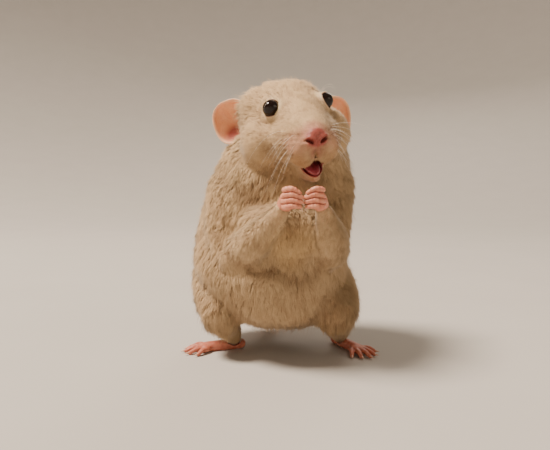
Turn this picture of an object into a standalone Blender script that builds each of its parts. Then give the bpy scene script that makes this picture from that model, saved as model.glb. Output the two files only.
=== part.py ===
"""A pet rat standing upright on its hind feet, with its paws together under its open mouth.

X runs to the rat's left, it faces -Y, and its soles rest on Z = 0. All is drawn in units of
LIFE millimetres and scaled to metres at the end. Each list of joints holds rows of x, y, z
and radius along the middle of a form.
"""

import math

import bmesh
import bpy
import numpy as np
from mathutils import Matrix, Vector

LIFE = 0.9
GAP = 0.3 / LIFE
FAR = 400.0
SLIVER = 0.03

# The head turns about the point midway between the eyes.
HEAD_AT = Vector((11.0, -28.0, 128.0))
HEAD_YAW = math.radians(13.5)
HEAD_PITCH = math.radians(8.5)
HEAD_ROLL = math.radians(10)
# How far the tip of the snout leans to the rat's right, and how far ahead it is.
SNOUT_LEAN, SNOUT_REACH = 0.9, 26.0

EYE_RADIUS = 4.0
EYE_FORWARD, EYE_SIDE, EYE_UP = -0.3, 13.2, -0.3
EYE_LOOKS = (0.68, 0.62, 0.38)

# Side, distance out, height and the angle at which each ear opens from straight ahead.
EARS = {"ear_left": (1, 28.3, -9.4, 28), "ear_right": (-1, 29.2, -4.0, 34)}
EAR_HALF_WIDTH, EAR_HALF_HEIGHT = 10.6, 11.8
EAR_DEPTH, EAR_WALL, EAR_FORWARD = 4.4, 1.0, -25.0

FOOT_LENGTH, FOOT_WIDTH = 34.0, 8.8
TOE_LENGTHS = (7.0, 8.6, 9.2, 8.8, 6.6)
TOE_SPREAD = (-34, -15, 0, 14, 36)
FINGER_LENGTH, FINGER_PITCH = 7.2, 2.45
HAND_VOXEL, HAND_TRIANGLES = 0.34, 700
FOOT_VOXEL, FOOT_TRIANGLES = 0.4, 800

TAIL_LENGTH, TAIL_LENGTHS = 172.0, 4
TAIL_BASE, TAIL_TIP = 5.6, 0.9
TAIL_TURN = math.radians(62)

# Height, middle x, middle y, half width, reach to the front and reach to the back.
TRUNK = (
    (12, 3.0, 12, 9.0, 10.0, 11.0),
    (17, 3.0, 8, 24.0, 26.0, 24.0),
    (26, 1.5, 4, 33.0, 37.0, 33.0),
    (38, -1.0, 3, 38.5, 41.0, 37.0),
    (50, -2.5, 3, 41.5, 41.5, 38.0),
    (62, -2.0, 4, 41.0, 38.0, 37.0),
    (76, 0.0, 4, 40.0, 34.0, 35.0),
    (90, 2.5, 3, 38.5, 31.0, 31.0),
    (102, 5.0, 2, 35.5, 28.0, 27.0),
    (112, 6.5, 0, 31.0, 24.0, 22.0),
    (120, 7.0, -2, 24.5, 19.0, 17.0),
    (126, 7.0, -4, 14.0, 11.0, 9.0),
)
NECK_FROM, CHEST_FROM, RUMP_FROM = 103, 61, 15

UPPER_ARM_LEFT = [(29.5, -2, 91, 13), (28.2, -12, 75, 11.6), (27, -21, 60, 9.4)]
UPPER_ARM_RIGHT = [(-22.5, -4, 88, 13.4), (-23.5, -13, 72, 12.4), (-21.5, -21, 56, 10.4)]
FOREARM_LEFT = [(27, -25, 58, 9.4), (25.8, -37, 67, 7.6), (21.4, -46, 78, 4.0)]
FOREARM_RIGHT = [(-19, -25, 54, 10.2), (-8, -38, 65, 8.2), (3, -47, 78, 4.0)]
THIGH_LEFT = [(24.5, 16, 37, 19.5), (28.5, 2, 32, 16.5), (30.6, -11, 26.4, 13.6)]
THIGH_RIGHT = [(-27, 14, 38, 20), (-27.8, 1, 33, 17), (-26.8, -12, 25.4, 13.0)]
SHANK_LEFT = [(32.0, -10, 22, 10), (34.2, -2.5, 15, 6.8), (36.2, 6.5, 6.5, 4.4)]
SHANK_RIGHT = [(-28, -9, 22, 10.4), (-25.6, -3.5, 15, 7.0), (-22.8, 2.5, 6.5, 4.4)]

# Each foot runs from its heel towards its middle toe.
FOOT_LEFT = ((33.4, 15.0, 0), (49.6, -13.6, 0))
FOOT_RIGHT = ((-16.6, 4.8, 0), (-50.5, -5, 0))

# Colour and roughness by the start of a node's name, with the coat last, for all the rest.
FINISHES = {
    "eye": ((0.012, 0.008, 0.008), 0.08),
    "ear": ((0.78, 0.42, 0.28), 0.6),
    "hand": ((0.80, 0.46, 0.38), 0.55),
    "foot": ((0.76, 0.42, 0.36), 0.55),
    "tail": ((0.70, 0.46, 0.40), 0.65),
    "tongue": ((0.25, 0.04, 0.05), 0.35),
    "": ((0.62, 0.49, 0.36), 0.9),
}

# Along the skull: how far ahead of the eyes, to the left and up, then half width and height.
SKULL = (
    (25.0, 0.0, -15.2, 3.4, 3.0),
    (23.5, 0.0, -15.0, 6.4, 5.8),
    (19.5, 0.0, -14.8, 8.8, 8.2),
    (13.5, 0.0, -13.2, 10.8, 10.4),
    (7.0, 0.0, -10.6, 12.4, 12.8),
    (0.0, -0.3, -8.0, 15.0, 15.2),
    (-7.0, -1.6, -6.2, 18.8, 17.2),
    (-15.0, -3.0, -6.0, 21.4, 18.8),
    (-24.0, -3.6, -8.0, 22.0, 18.8),
    (-33.0, -3.2, -11.0, 20.2, 16.6),
    (-39.0, -1.6, -15.0, 12.0, 9.0),
)

# The lower jaw and the rolled edges of the lips, in the head's own axes.
JAW = [(-9, 0, -24, 11), (4, 0, -30, 7), (13.5, 0, -33.4, 3.2)]
UPPER_LIP = [(20.5, 0.6, -24.0, 1.1), (17.0, 5.3, -27.3, 1.3), (7.0, 6.3, -26.5, 1.2)]
LOWER_LIP = [(5.5, 6.0, -27.8, 1.0), (11.5, 4.8, -30.6, 1.1), (15.6, 0.0, -32.2, 1.1)]
# The cut that parts the lower jaw from the head.
JAW_BACK, JAW_TOP, JAW_SLOPE = -6, -24.6, math.radians(18)
NOSTRIL_AT, NOSTRIL_RADII, NOSTRIL_SLANT = (26.4, 3.1, -15.9), (2.6, 1.7, 0.75), 25
# How much squarer than an oval the skull is, from this far behind the eyes.
SKULL_SQUARE, SQUARE_FROM = 0.2, 15.0
BULK_VOXEL, BULK_TRIANGLES = 0.8, 12000
HEAD_VOXEL, HEAD_TRIANGLES = 0.6, 2000


def clear_scene():
    for thing in list(bpy.data.objects):
        bpy.data.objects.remove(thing)


def dress(thing):
    """Gives a node the plain finish of its kind, and smooth shading."""
    kind = next(kind for kind in FINISHES if thing.name.startswith(kind))
    colour, roughness = FINISHES[kind]
    material = bpy.data.materials.new(thing.name)
    material.use_nodes = True
    shader = material.node_tree.nodes["Principled BSDF"]
    shader.inputs["Base Color"].default_value = (*colour, 1)
    shader.inputs["Roughness"].default_value = roughness
    shader.inputs["Metallic"].default_value = 0
    thing.data.materials.clear()
    thing.data.materials.append(material)
    thing.data.shade_smooth()
    thing.data.set_sharp_from_angle(angle=math.radians(50))


def object_from(name, bm, collection):
    bm.normal_update()
    bmesh.ops.recalc_face_normals(bm, faces=bm.faces)
    mesh = bpy.data.meshes.new(name)
    bm.to_mesh(mesh)
    bm.free()
    thing = bpy.data.objects.new(name, mesh)
    collection.objects.link(thing)
    return thing


def through(rows, count):
    """Count rows on a smooth curve through the given rows, spaced evenly along their joints."""
    rows = np.array(rows, float)
    padded = np.vstack([2 * rows[0] - rows[1], rows, 2 * rows[-1] - rows[-2]])
    found = []
    for at in np.linspace(0, len(rows) - 1, count):
        first = min(int(at), len(rows) - 2)
        t = at - first
        a, b, c, d = padded[first : first + 4]
        bend = 2 * a - 5 * b + 4 * c - d
        twist = 3 * (b - c) + d - a
        found.append(b + t * ((c - a) + t * (bend + t * twist)) / 2)
    return np.array(found)


def loft(name, rings, collection):
    """A closed skin over rings that have the same number of points."""
    bm = bmesh.new()
    loops = [[bm.verts.new(p) for p in ring] for ring in rings]
    for low, high in zip(loops, loops[1:]):
        for i in range(len(low)):
            bm.faces.new((low[i - 1], low[i], high[i], high[i - 1]))
    bm.faces.new(loops[0][::-1])
    bm.faces.new(loops[-1])
    return object_from(name, bm, collection)


def oval(centre, side, front, half_width, ahead, behind, around, square=0.0):
    """Points round an oval whose two halves have their own depths, or a squarer one."""
    points = []
    for i in range(around):
        turn = 2 * math.pi * i / around
        across, along = (
            math.copysign(abs(reach) ** (1 - square), reach)
            for reach in (math.cos(turn), math.sin(turn))
        )
        depth = ahead if along > 0 else behind
        points.append(centre + side * half_width * across + front * depth * along)
    return points


def limb(name, joints, collection, around=18, rings=10, round_ends=True):
    """A round tapering form along joints, with domed ends."""
    rows = through(joints, rings)
    middles = [Vector(row[:3]) for row in rows]
    radii = [row[3] for row in rows]
    ways = [
        (middles[min(i + 1, rings - 1)] - middles[max(i - 1, 0)]).normalized()
        for i in range(rings)
    ]
    side = ways[0].orthogonal().normalized()
    made = []
    for middle, way, radius in zip(middles, ways, radii):
        side = (side - way * side.dot(way)).normalized()
        made.append((middle, side, way.cross(side), way, radius))
    circles = [oval(m, s, f, r, r, r, around) for m, s, f, _, r in made]
    if round_ends:
        lifts = (0.55, 0.92)
        for lift in lifts:
            for end, sign in ((0, -1), (-1, 1)):
                m, s, f, way, r = made[end]
                small = r * math.sqrt(1 - lift**2)
                ring = oval(m + way * sign * r * lift, s, f, small, small, small, around)
                circles.insert(0 if sign < 0 else len(circles), ring)
    return loft(name, circles, collection)


def ball(name, centre, radii, collection, turn=None, segments=24):
    """An ellipsoid."""
    bm = bmesh.new()
    bmesh.ops.create_uvsphere(bm, u_segments=segments, v_segments=segments // 2, radius=1)
    bm.transform(Matrix.Diagonal((*radii, 1)))
    if turn:
        bm.transform(turn)
    bm.transform(Matrix.Translation(Vector(centre)))
    return object_from(name, bm, collection)


def box(name, low, high, collection):
    """A block between two corners."""
    bm = bmesh.new()
    bmesh.ops.create_cube(bm, size=1)
    size = Vector(high) - Vector(low)
    bm.transform(Matrix.Diagonal((*size, 1)))
    bm.transform(Matrix.Translation((Vector(high) + Vector(low)) / 2))
    return object_from(name, bm, collection)


def settle(thing):
    """Applies the modifiers of a piece and writes its place into its mesh."""
    graph = bpy.context.evaluated_depsgraph_get()
    mesh = bpy.data.meshes.new_from_object(thing.evaluated_get(graph))
    mesh.transform(thing.matrix_world)
    thing.modifiers.clear()
    thing.data = mesh
    thing.matrix_world = Matrix.Identity(4)


def drop(things):
    for thing in things:
        bpy.data.objects.remove(thing)


def is_closed(thing):
    bm = bmesh.new()
    bm.from_mesh(thing.data)
    closed = len(bm.faces) > 0 and all(edge.is_manifold for edge in bm.edges)
    bm.free()
    return closed


def mend(thing):
    """Merges points that all but touch, and drops the slivers between them."""
    bm = bmesh.new()
    bm.from_mesh(thing.data)
    bmesh.ops.remove_doubles(bm, verts=bm.verts, dist=SLIVER)
    bmesh.ops.dissolve_degenerate(bm, dist=SLIVER, edges=bm.edges)
    bmesh.ops.triangulate(bm, faces=bm.faces)
    bm.to_mesh(thing.data)
    bm.free()


def thin_out(thing, share):
    """Keeps about that share of the triangles, most of them where the form bends."""
    whole = thing.data
    for near in (1.0, 0.98, 0.96, 0.94):
        thing.data = whole
        thin = thing.modifiers.new("thin", "DECIMATE")
        thin.ratio = min(1.0, share * near)
        thin.use_collapse_triangulate = True
        settle(thing)
        mend(thing)
        if is_closed(thing):
            break


def fuse(name, pieces, voxel, smoothing, triangles, collection):
    """One smooth skin over overlapping pieces, thinned to about that many triangles."""
    bm = bmesh.new()
    for piece in pieces:
        bm.from_mesh(piece.data)
    drop(pieces)
    thing = object_from(name, bm, collection)
    remesh = thing.modifiers.new("skin", "REMESH")
    remesh.mode = "VOXEL"
    remesh.voxel_size = voxel
    smooth = thing.modifiers.new("smooth", "SMOOTH")
    smooth.factor = 0.5
    smooth.iterations = smoothing
    settle(thing)
    thin_out(thing, triangles / (2 * len(thing.data.polygons)))
    return thing


def keep_largest(thing):
    """Drops every closed surface but the largest."""
    bm = bmesh.new()
    bm.from_mesh(thing.data)
    left = set(bm.verts)
    groups = []
    while left:
        group, edge_of = set(), [left.pop()]
        while edge_of:
            vertex = edge_of.pop()
            group.add(vertex)
            for edge in vertex.link_edges:
                other = edge.other_vert(vertex)
                if other in left:
                    left.remove(other)
                    edge_of.append(other)
        groups.append(group)
    groups.sort(key=len)
    for group in groups[:-1]:
        bmesh.ops.delete(bm, geom=list(group), context="VERTS")
    bm.to_mesh(thing.data)
    bm.free()


def combine(thing, others, operation):
    """Cuts the others from a piece, or joins or meets them."""
    for other in others:
        before = thing.data
        for solver in ("EXACT", "MANIFOLD"):
            thing.data = before
            step = thing.modifiers.new(operation, "BOOLEAN")
            step.operation = operation
            step.solver = solver
            step.object = other
            settle(thing)
            if is_closed(thing):
                break
    keep_largest(thing)
    return thing


def copy_of(thing, name, by=0.0, collection=None):
    """A copy with its faces moved outwards by that distance."""
    bm = bmesh.new()
    bm.from_mesh(thing.data)
    bm.normal_update()
    moves = [v.normal * by * min(v.calc_shell_factor(), 1.8) for v in bm.verts]
    for vertex, move in zip(bm.verts, moves):
        vertex.co += move
    return object_from(name, bm, collection or thing.users_collection[0])


def cutter_of(thing, cutters, by=GAP):
    """A hidden copy of a piece as it is now, grown by the gap, which its neighbours yield to."""
    cutter = copy_of(thing, f"room_for_{thing.name}", by, cutters)
    cutter.hide_render = True
    cutter.display_type = "WIRE"
    return cutter


def part_off(thing, region, name):
    """Takes the part of a piece inside a region off as a piece of its own."""
    inside = copy_of(thing, name)
    combine(inside, [region], "INTERSECT")
    beyond = copy_of(region, "beyond", GAP)
    combine(thing, [beyond], "DIFFERENCE")
    drop([region, beyond])
    return inside


def head_frame():
    """The head's own axes: forward, to its left and up, at the point between the eyes."""
    forward = Vector((math.sin(HEAD_YAW), -math.cos(HEAD_YAW), 0))
    left = Vector((math.cos(HEAD_YAW), math.sin(HEAD_YAW), 0))
    up = Vector((0, 0, 1))
    nose_on = forward * math.cos(HEAD_PITCH) - up * math.sin(HEAD_PITCH)
    crown = up * math.cos(HEAD_PITCH) + forward * math.sin(HEAD_PITCH)
    left_up = left * math.cos(HEAD_ROLL) + crown * math.sin(HEAD_ROLL)
    crown = crown * math.cos(HEAD_ROLL) - left * math.sin(HEAD_ROLL)
    axes = Matrix((nose_on, left_up, crown)).transposed().to_4x4()
    return Matrix.Translation(HEAD_AT) @ axes


def eye_axis(side):
    return Vector((EYE_LOOKS[0], side * EYE_LOOKS[1], EYE_LOOKS[2])).normalized()


def eye_place(side, back=0.0):
    """The middle of the eye, or a point that far behind it."""
    return Vector((EYE_FORWARD, side * EYE_SIDE, EYE_UP)) - eye_axis(side) * back


def lids_for(side, collection):
    """The lids, as a ring round the eye."""
    axis = eye_axis(side)
    across = axis.orthogonal().normalized()
    down = axis.cross(across)
    around, sides = 22, 6
    rings = []
    for i in range(around):
        turn = 2 * math.pi * i / around
        out = across * math.cos(turn) + down * math.sin(turn)
        middle = eye_place(side, -0.3) + out * (EYE_RADIUS + 0.15)
        rings.append(oval(middle, out, axis, 0.8, 0.8, 0.8, sides))
    bm = bmesh.new()
    loops = [[bm.verts.new(point) for point in ring] for ring in rings]
    for i in range(around):
        for j in range(sides):
            bm.faces.new((loops[i - 1][j - 1], loops[i - 1][j], loops[i][j], loops[i][j - 1]))
    return object_from("lids", bm, collection)


def mirrored(half):
    """Joints across both sides, from those of the left side, which end in the middle."""
    return [(x, -y, z, r) for x, y, z, r in half] + list(half[-2::-1])


def make_head(collection):
    """Skull, cheeks, whisker pads, nose and jaw as one skin, in the head's own axes."""
    left, up = Vector((0, 1, 0)), Vector((0, 0, 1))
    rings = []
    for x, y, z, width, height in through(SKULL, 40):
        square = SKULL_SQUARE * min(1, max(0, -x / SQUARE_FROM))
        rings.append(oval(Vector((x, y, z)), left, up, width, height, height, 40, square))
    bulk = [
        loft("skull", rings, collection),
        ball("throat", (-14.0, 0, -21.0), (16, 17.5, 13), collection),
        limb("jaw", JAW, collection),
    ]
    for side in (-1, 1):
        bulk += [
            ball("cheek", (-9.5, side * 16.2 - 0.8, -16.5), (15, 12.0, 13.8), collection),
            ball("jowl", (4, side * 9.6, -17), (13, 8.2, 10.2), collection),
        ]
    pieces = [
        fuse("bulk", bulk, BULK_VOXEL, 22, BULK_TRIANGLES, collection),
        ball("nose", (23.4, 0, -14.4), (3.6, 5.0, 4.6), collection),
        limb("lower_lip", mirrored(LOWER_LIP), collection, 12, 17),
    ]
    for side in (-1, 1):
        pieces += [
            ball("whisker_pad", (15.2, side * 6.0, -19.6), (8.8, 6.4, 8.0), collection),
            ball("nose_wing", (23.4, side * 3.6, -16), (3.2, 2.8, 3.0), collection),
            ball("orbit", eye_place(side, 2.3), (5.2, 5.2, 5.2), collection),
            limb("lip", [(x, side * y, z, r) for x, y, z, r in UPPER_LIP], collection, 12, 9),
        ]
    return fuse("head", pieces, HEAD_VOXEL, 10, HEAD_TRIANGLES, collection)


def mouth_form(name, collection):
    tip_down = Matrix.Rotation(math.radians(20), 4, "Y")
    return ball(name, (12.5, 0, -28.2), (11.0, 5.2, 3.9), collection, tip_down)


def lean(thing):
    """Bends a piece of the head a little to the rat's right, more towards the nose."""
    for vertex in thing.data.vertices:
        ahead = max(0, vertex.co.x / SNOUT_REACH)
        vertex.co.y -= SNOUT_LEAN * ahead**2


def open_face(head, collection):
    """Adds the lids, and cuts the mouth, the cleft of the upper lip and the nostrils."""
    lids = [lids_for(side, collection) for side in (-1, 1)]
    combine(head, lids, "UNION")
    drop(lids)
    cutters = [
        mouth_form("mouth", collection),
        ball("lip_cleft", (22.4, 0, -23.4), (5.0, 1.1, 4.4), collection, None, 16),
    ]
    for side in (-1, 1):
        x, y, z = NOSTRIL_AT
        slant = Matrix.Rotation(math.radians(side * NOSTRIL_SLANT), 4, "X")
        cutters.append(
            ball("nostril", (x, side * y, z), NOSTRIL_RADII, collection, slant, 14)
        )
    combine(head, cutters, "DIFFERENCE")
    drop(cutters)


def make_eye(side, name, collection):
    turn = eye_axis(side).to_track_quat("Z", "Y").to_matrix().to_4x4()
    return ball(name, eye_place(side), (EYE_RADIUS,) * 3, collection, turn, 18)


def make_ear(name, side, distance, height, angle, collection):
    """A round cup that opens forwards and outwards."""
    around, steps = 26, 5
    angle = math.radians(angle)
    opens = Vector((math.cos(angle), side * math.sin(angle), 0.1)).normalized()
    up = Vector((-0.12, side * 0.16, 1)).normalized()
    up = (up - opens * up.dot(opens)).normalized()
    out = up.cross(opens) * side
    bm = bmesh.new()
    centre = Vector((EAR_FORWARD, side * distance, height))
    rows = [[bm.verts.new(centre - opens * EAR_DEPTH)]]
    for step in range(1, steps + 1):
        share = step / steps
        row = []
        for i in range(around):
            turn = 2 * math.pi * i / around
            squash = 1 - 0.07 * math.cos(2 * turn) ** 2
            spot = (
                centre
                + out * EAR_HALF_WIDTH * share * squash * math.cos(turn)
                + up * EAR_HALF_HEIGHT * share * squash * math.sin(turn)
                - opens * EAR_DEPTH * (1 - share**2.2)
            )
            row.append(bm.verts.new(spot))
        rows.append(row)
    for i in range(around):
        bm.faces.new((rows[0][0], rows[1][i - 1], rows[1][i]))
    for low, high in zip(rows[1:], rows[2:]):
        for i in range(around):
            bm.faces.new((low[i - 1], high[i - 1], high[i]))
            bm.faces.new((low[i - 1], high[i], low[i]))
    ear = object_from(name, bm, collection)
    wall = ear.modifiers.new("wall", "SOLIDIFY")
    wall.thickness = EAR_WALL
    wall.offset = 0
    settle(ear)
    return ear


def make_tongue(collection):
    """The tongue, which lies on the floor of the open mouth."""
    tip_down = Matrix.Rotation(math.radians(20), 4, "Y")
    tongue = ball("tongue", (10.5, 0, -29.6), (8.0, 3.6, 2.2), collection, tip_down, 16)
    mouth = mouth_form("mouth", collection)
    inside = copy_of(mouth, "inside", -GAP)
    combine(tongue, [inside], "INTERSECT")
    drop([mouth, inside])
    return tongue


def make_trunk(collection):
    """The whole trunk as one loft, from between the thighs to the nape."""
    side, front = Vector((1, 0, 0)), Vector((0, -1, 0))
    rings = [
        oval(Vector((x, y, z)), side, front, w, ahead, behind, 32)
        for z, x, y, w, ahead, behind in through(TRUNK, 27)
    ]
    bib = ball("bib", (7, -25, 69), (25, 17, 15.5), collection)
    return fuse("belly", [loft("trunk", rings, collection), bib], 1.4, 6, 2300, collection)


def make_hand(side, name, wrist, collection):
    """A closed paw whose four fingers curl towards the other paw, each with its claw."""
    wrist = Vector(wrist)
    palm = wrist + Vector((side * -2.6, -4.4, 5.2))
    pieces = [
        limb("palm", [(*wrist, 3.3), (*palm, 3.7)], collection, around=16, rings=5),
        ball("palm_pad", palm + Vector((side * -1.0, -0.5, 0.3)), (3.6, 3.1, 4.5), collection),
    ]
    for i in range(4):
        height = FINGER_PITCH * (i - 1.45)
        reach = FINGER_LENGTH * (0.9, 1.0, 1.0, 0.88)[i]
        knuckle = palm + Vector((side * 1.6, -2.4, height))
        bend = palm + Vector((side * (1.6 - 0.5 * reach), -4.3, height + 0.5))
        tip = palm + Vector((side * (1.6 - reach), -3.3, height * 0.8 - 0.5))
        joints = [(*knuckle, 1.4), (*bend, 1.25), (*tip, 1.0)]
        claw_end = tip + Vector((side * -1.4, 0.3, -0.9))
        pieces.append(limb("finger", joints, collection, around=12, rings=7))
        pieces.append(
            limb("claw", [(*tip, 0.6), (*claw_end, 0.3)], collection, around=8, rings=3)
        )
    thumb = [(*(palm + Vector((side * -2.0, 1.6, 1.0))), 1.4)]
    thumb.append((*(palm + Vector((side * -4.2, 0.4, 2.8))), 0.9))
    pieces.append(limb("thumb", thumb, collection, around=10, rings=4))
    return fuse(name, pieces, HAND_VOXEL, 3, HAND_TRIANGLES, collection)


def make_foot(name, heel, toes_at, collection):
    """A long flat hind foot whose five clawed toes spread, its sole on the floor."""
    way = (Vector(toes_at) - Vector(heel)).normalized()
    side = Vector((-way.y, way.x, 0))
    sole = FOOT_LENGTH - max(TOE_LENGTHS)
    ball_at = Vector(heel) + way * sole
    half = FOOT_WIDTH / 2

    def spot(along, across, height):
        return Vector(heel) + way * along + side * across + Vector((0, 0, height))

    pieces = [
        limb(
            "sole",
            [
                (*spot(2.6, 0, 2.7), 2.9),
                (*spot(9, 0, 2.6), 3.0),
                (*spot(sole - 3, 0, 2.3), 2.9),
            ],
            collection,
            around=14,
            rings=6,
        ),
        ball(
            "ball_of_foot",
            spot(sole - 2.5, 0, 2.2),
            (4.2, half, 2.5),
            collection,
            way.to_track_quat("X", "Z").to_matrix().to_4x4(),
        ),
    ]
    for i, (length, turn) in enumerate(zip(TOE_LENGTHS, TOE_SPREAD)):
        across = (i - 2) * half * 0.44
        point_to = math.radians(turn)
        along = way * math.cos(point_to) + side * math.sin(point_to)
        root = ball_at - way * (1.2 + 0.9 * abs(i - 2)) + side * across + Vector((0, 0, 2.0))
        arch = root + along * length * 0.5 + Vector((0, 0, 0.5))
        tip = root + along * length + Vector((0, 0, -0.9))
        claw_end = tip + along * 1.9 + Vector((0, 0, -0.2))
        joints = [(*root, 1.5), (*arch, 1.35), (*tip, 1.15)]
        pieces.append(limb("toe", joints, collection, around=12, rings=6))
        pieces.append(
            limb("claw", [(*tip, 0.6), (*claw_end, 0.3)], collection, around=8, rings=3)
        )
    return fuse(name, pieces, FOOT_VOXEL, 3, FOOT_TRIANGLES, collection)


def tail_path(count):
    """Rows down the tail: off the rump, onto the floor, then round in one long bend."""
    drop_rows = [(0.0, 37.0, 21.0), (0.3, 45.0, 12.5), (0.8, 53.5, 6.2)]
    on_floor = TAIL_LENGTH - 27
    rows = [Vector(row) for row in drop_rows]
    spot, step = Vector((1.2, 62.0, 0)), on_floor / 24
    for i in range(25):
        share = i / 24
        radius = TAIL_BASE + (TAIL_TIP - TAIL_BASE) * (0.16 + 0.84 * share)
        rows.append(Vector((spot.x, spot.y, radius - 0.25)))
        heading = math.pi / 2 + TAIL_TURN * share**1.2 - math.radians(6)
        spot = spot + Vector((math.cos(heading), math.sin(heading), 0)) * step
    path = through(rows, count)
    radii = TAIL_BASE + (TAIL_TIP - TAIL_BASE) * np.linspace(0, 1, count)
    return np.column_stack([path, radii])


def make_tail(collection):
    """The tail in a few lengths that meet end to end."""
    rows = tail_path(61)
    share = (len(rows) - 1) // TAIL_LENGTHS
    lengths = []
    for i in range(TAIL_LENGTHS):
        joints = rows[i * share : (i + 1) * share + 1].copy()
        if i:
            way = joints[1, :3] - joints[0, :3]
            joints[0, :3] += way / np.linalg.norm(way) * GAP
        last = i == TAIL_LENGTHS - 1
        name = f"tail_{i + 1}"
        length = limb(name, joints, collection, around=12, rings=13, round_ends=False)
        if last:
            tip = limb("tip", joints[-2:], collection, around=12, rings=2)
            combine(length, [tip], "UNION")
            drop([tip])
        lengths.append(length)
    return lengths


def flatten_soles(things, collection):
    """Cuts all that reaches below the floor, which leaves flats at one level."""
    floor = box("floor", (-FAR, -FAR, -FAR), (FAR, FAR, 0), collection)
    for thing in things:
        combine(thing, [floor], "DIFFERENCE")
    drop([floor])


def centre_on_floor(things):
    """Stands the middle of the animal's box on the origin, and scales it to metres."""
    corners = np.array([v.co for thing in things for v in thing.data.vertices])
    middle = (corners.min(axis=0) + corners.max(axis=0)) / 2
    place = Matrix.Scale(0.001 * LIFE, 4) @ Matrix.Translation((-middle[0], -middle[1], 0))
    for thing in things:
        thing.data.transform(place)


def build():
    clear_scene()
    rat = bpy.data.collections.new("rat")
    cutters = bpy.data.collections.new("cutters")
    for collection in (rat, cutters):
        bpy.context.scene.collection.children.link(collection)

    # Head pieces are made in the head's own axes and then turned into place.
    head = make_head(rat)
    room_for_head = cutter_of(head, cutters)
    open_face(head, rat)
    eyes = [make_eye(1, "eye_left", rat), make_eye(-1, "eye_right", rat)]
    combine(head, [cutter_of(eye, cutters) for eye in eyes], "DIFFERENCE")
    jaw_region = box("region", (JAW_BACK, -FAR, -FAR), (FAR, FAR, 0), rat)
    slope = Matrix.Rotation(JAW_SLOPE, 4, "Y")
    jaw_region.data.transform(Matrix.Translation((0, 0, JAW_TOP)) @ slope)
    jaw = part_off(head, jaw_region, "lower_jaw")
    tongue = make_tongue(rat)
    ears = [make_ear(name, *pose, rat) for name, pose in EARS.items()]
    for piece in [head, jaw, tongue, room_for_head]:
        lean(piece)
    for piece in [head, jaw, tongue, *eyes, *ears, room_for_head]:
        piece.data.transform(head_frame())

    # Arms, with the upper arm hanging from the shoulder and the forearm raised.
    upper_arms = [
        limb("upper_arm_left", UPPER_ARM_LEFT, rat, 16, 7),
        limb("upper_arm_right", UPPER_ARM_RIGHT, rat, 16, 7),
    ]
    forearms = [
        limb("forearm_left", FOREARM_LEFT, rat, 16, 7),
        limb("forearm_right", FOREARM_RIGHT, rat, 16, 7),
    ]
    hands = [
        make_hand(1, "hand_left", FOREARM_LEFT[-1][:3], rat),
        make_hand(-1, "hand_right", FOREARM_RIGHT[-1][:3], rat),
    ]

    # Legs, folded so that the long soles lie flat and point outwards.
    thighs = [
        limb("thigh_left", THIGH_LEFT, rat, 20, 8),
        limb("thigh_right", THIGH_RIGHT, rat, 20, 8),
    ]
    shanks = [
        limb("shank_left", SHANK_LEFT, rat, 14, 6),
        limb("shank_right", SHANK_RIGHT, rat, 14, 6),
    ]
    feet = [
        make_foot("foot_left", *FOOT_LEFT, rat),
        make_foot("foot_right", *FOOT_RIGHT, rat),
    ]
    trunk = make_trunk(rat)
    tail = make_tail(rat)

    # Each piece yields to the whole form of those that lie in or over it.
    rooms = {
        thing: cutter_of(thing, cutters)
        for thing in [*upper_arms, *forearms, *thighs, *shanks, trunk]
    }
    for upper, fore, hand in zip(upper_arms, forearms, hands):
        combine(hand, [rooms[fore], room_for_head], "DIFFERENCE")
        combine(fore, [rooms[upper]], "DIFFERENCE")
    combine(hands[1], [cutter_of(hands[0], cutters)], "DIFFERENCE")
    for thigh, shank, foot in zip(thighs, shanks, feet):
        combine(foot, [rooms[shank]], "DIFFERENCE")
        combine(shank, [rooms[thigh]], "DIFFERENCE")
    for ear in ears:
        combine(ear, [room_for_head], "DIFFERENCE")
    combine(trunk, [cutter_of(ear, cutters) for ear in ears], "DIFFERENCE")
    combine(tail[0], [rooms[trunk], *(rooms[thigh] for thigh in thighs)], "DIFFERENCE")
    limbs = [*upper_arms, *forearms, *thighs, *shanks]
    combine(trunk, [room_for_head, *(rooms[part] for part in limbs)], "DIFFERENCE")

    # The trunk is parted by flat cuts into neck, chest, belly and rump.
    above_chest = box("region", (-FAR, -FAR, NECK_FROM), (FAR, FAR, FAR), rat)
    neck = part_off(trunk, above_chest, "neck")
    above_belly = box("region", (-FAR, -FAR, CHEST_FROM), (FAR, FAR, FAR), rat)
    chest = part_off(trunk, above_belly, "chest")
    behind = box("region", (-FAR, RUMP_FROM, -FAR), (FAR, FAR, FAR), rat)
    rump = part_off(trunk, behind, "rump")

    for piece in (trunk, rump, chest, neck):
        thin_out(piece, 0.55)
    flatten_soles([*feet, *tail], rat)
    drop(list(cutters.objects))
    nodes = list(rat.objects)
    for node in nodes:
        dress(node)
    centre_on_floor(nodes)


build()
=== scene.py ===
"""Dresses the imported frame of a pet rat, which sits up with its paws together under its chin.

Places are given in the units that the frame was drawn in, UNIT metres each, and at() turns
them into metres. In the head's own axes, x runs forwards, y to the rat's left and z to the
crown. Depths and lengths of the coat are in millimetres.
"""

import math

import bmesh
import bpy
import numpy as np
from mathutils import Matrix, Vector, bvhtree, kdtree


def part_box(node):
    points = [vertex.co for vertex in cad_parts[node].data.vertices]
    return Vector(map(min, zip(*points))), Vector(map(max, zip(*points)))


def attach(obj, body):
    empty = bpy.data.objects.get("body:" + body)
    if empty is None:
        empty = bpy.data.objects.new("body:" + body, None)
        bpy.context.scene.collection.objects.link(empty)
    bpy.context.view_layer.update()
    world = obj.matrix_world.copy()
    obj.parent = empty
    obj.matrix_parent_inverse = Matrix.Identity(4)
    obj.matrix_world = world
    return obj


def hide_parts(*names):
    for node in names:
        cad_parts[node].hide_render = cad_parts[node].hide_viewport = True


UNIT = 0.0009
MM = 0.001

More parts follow.
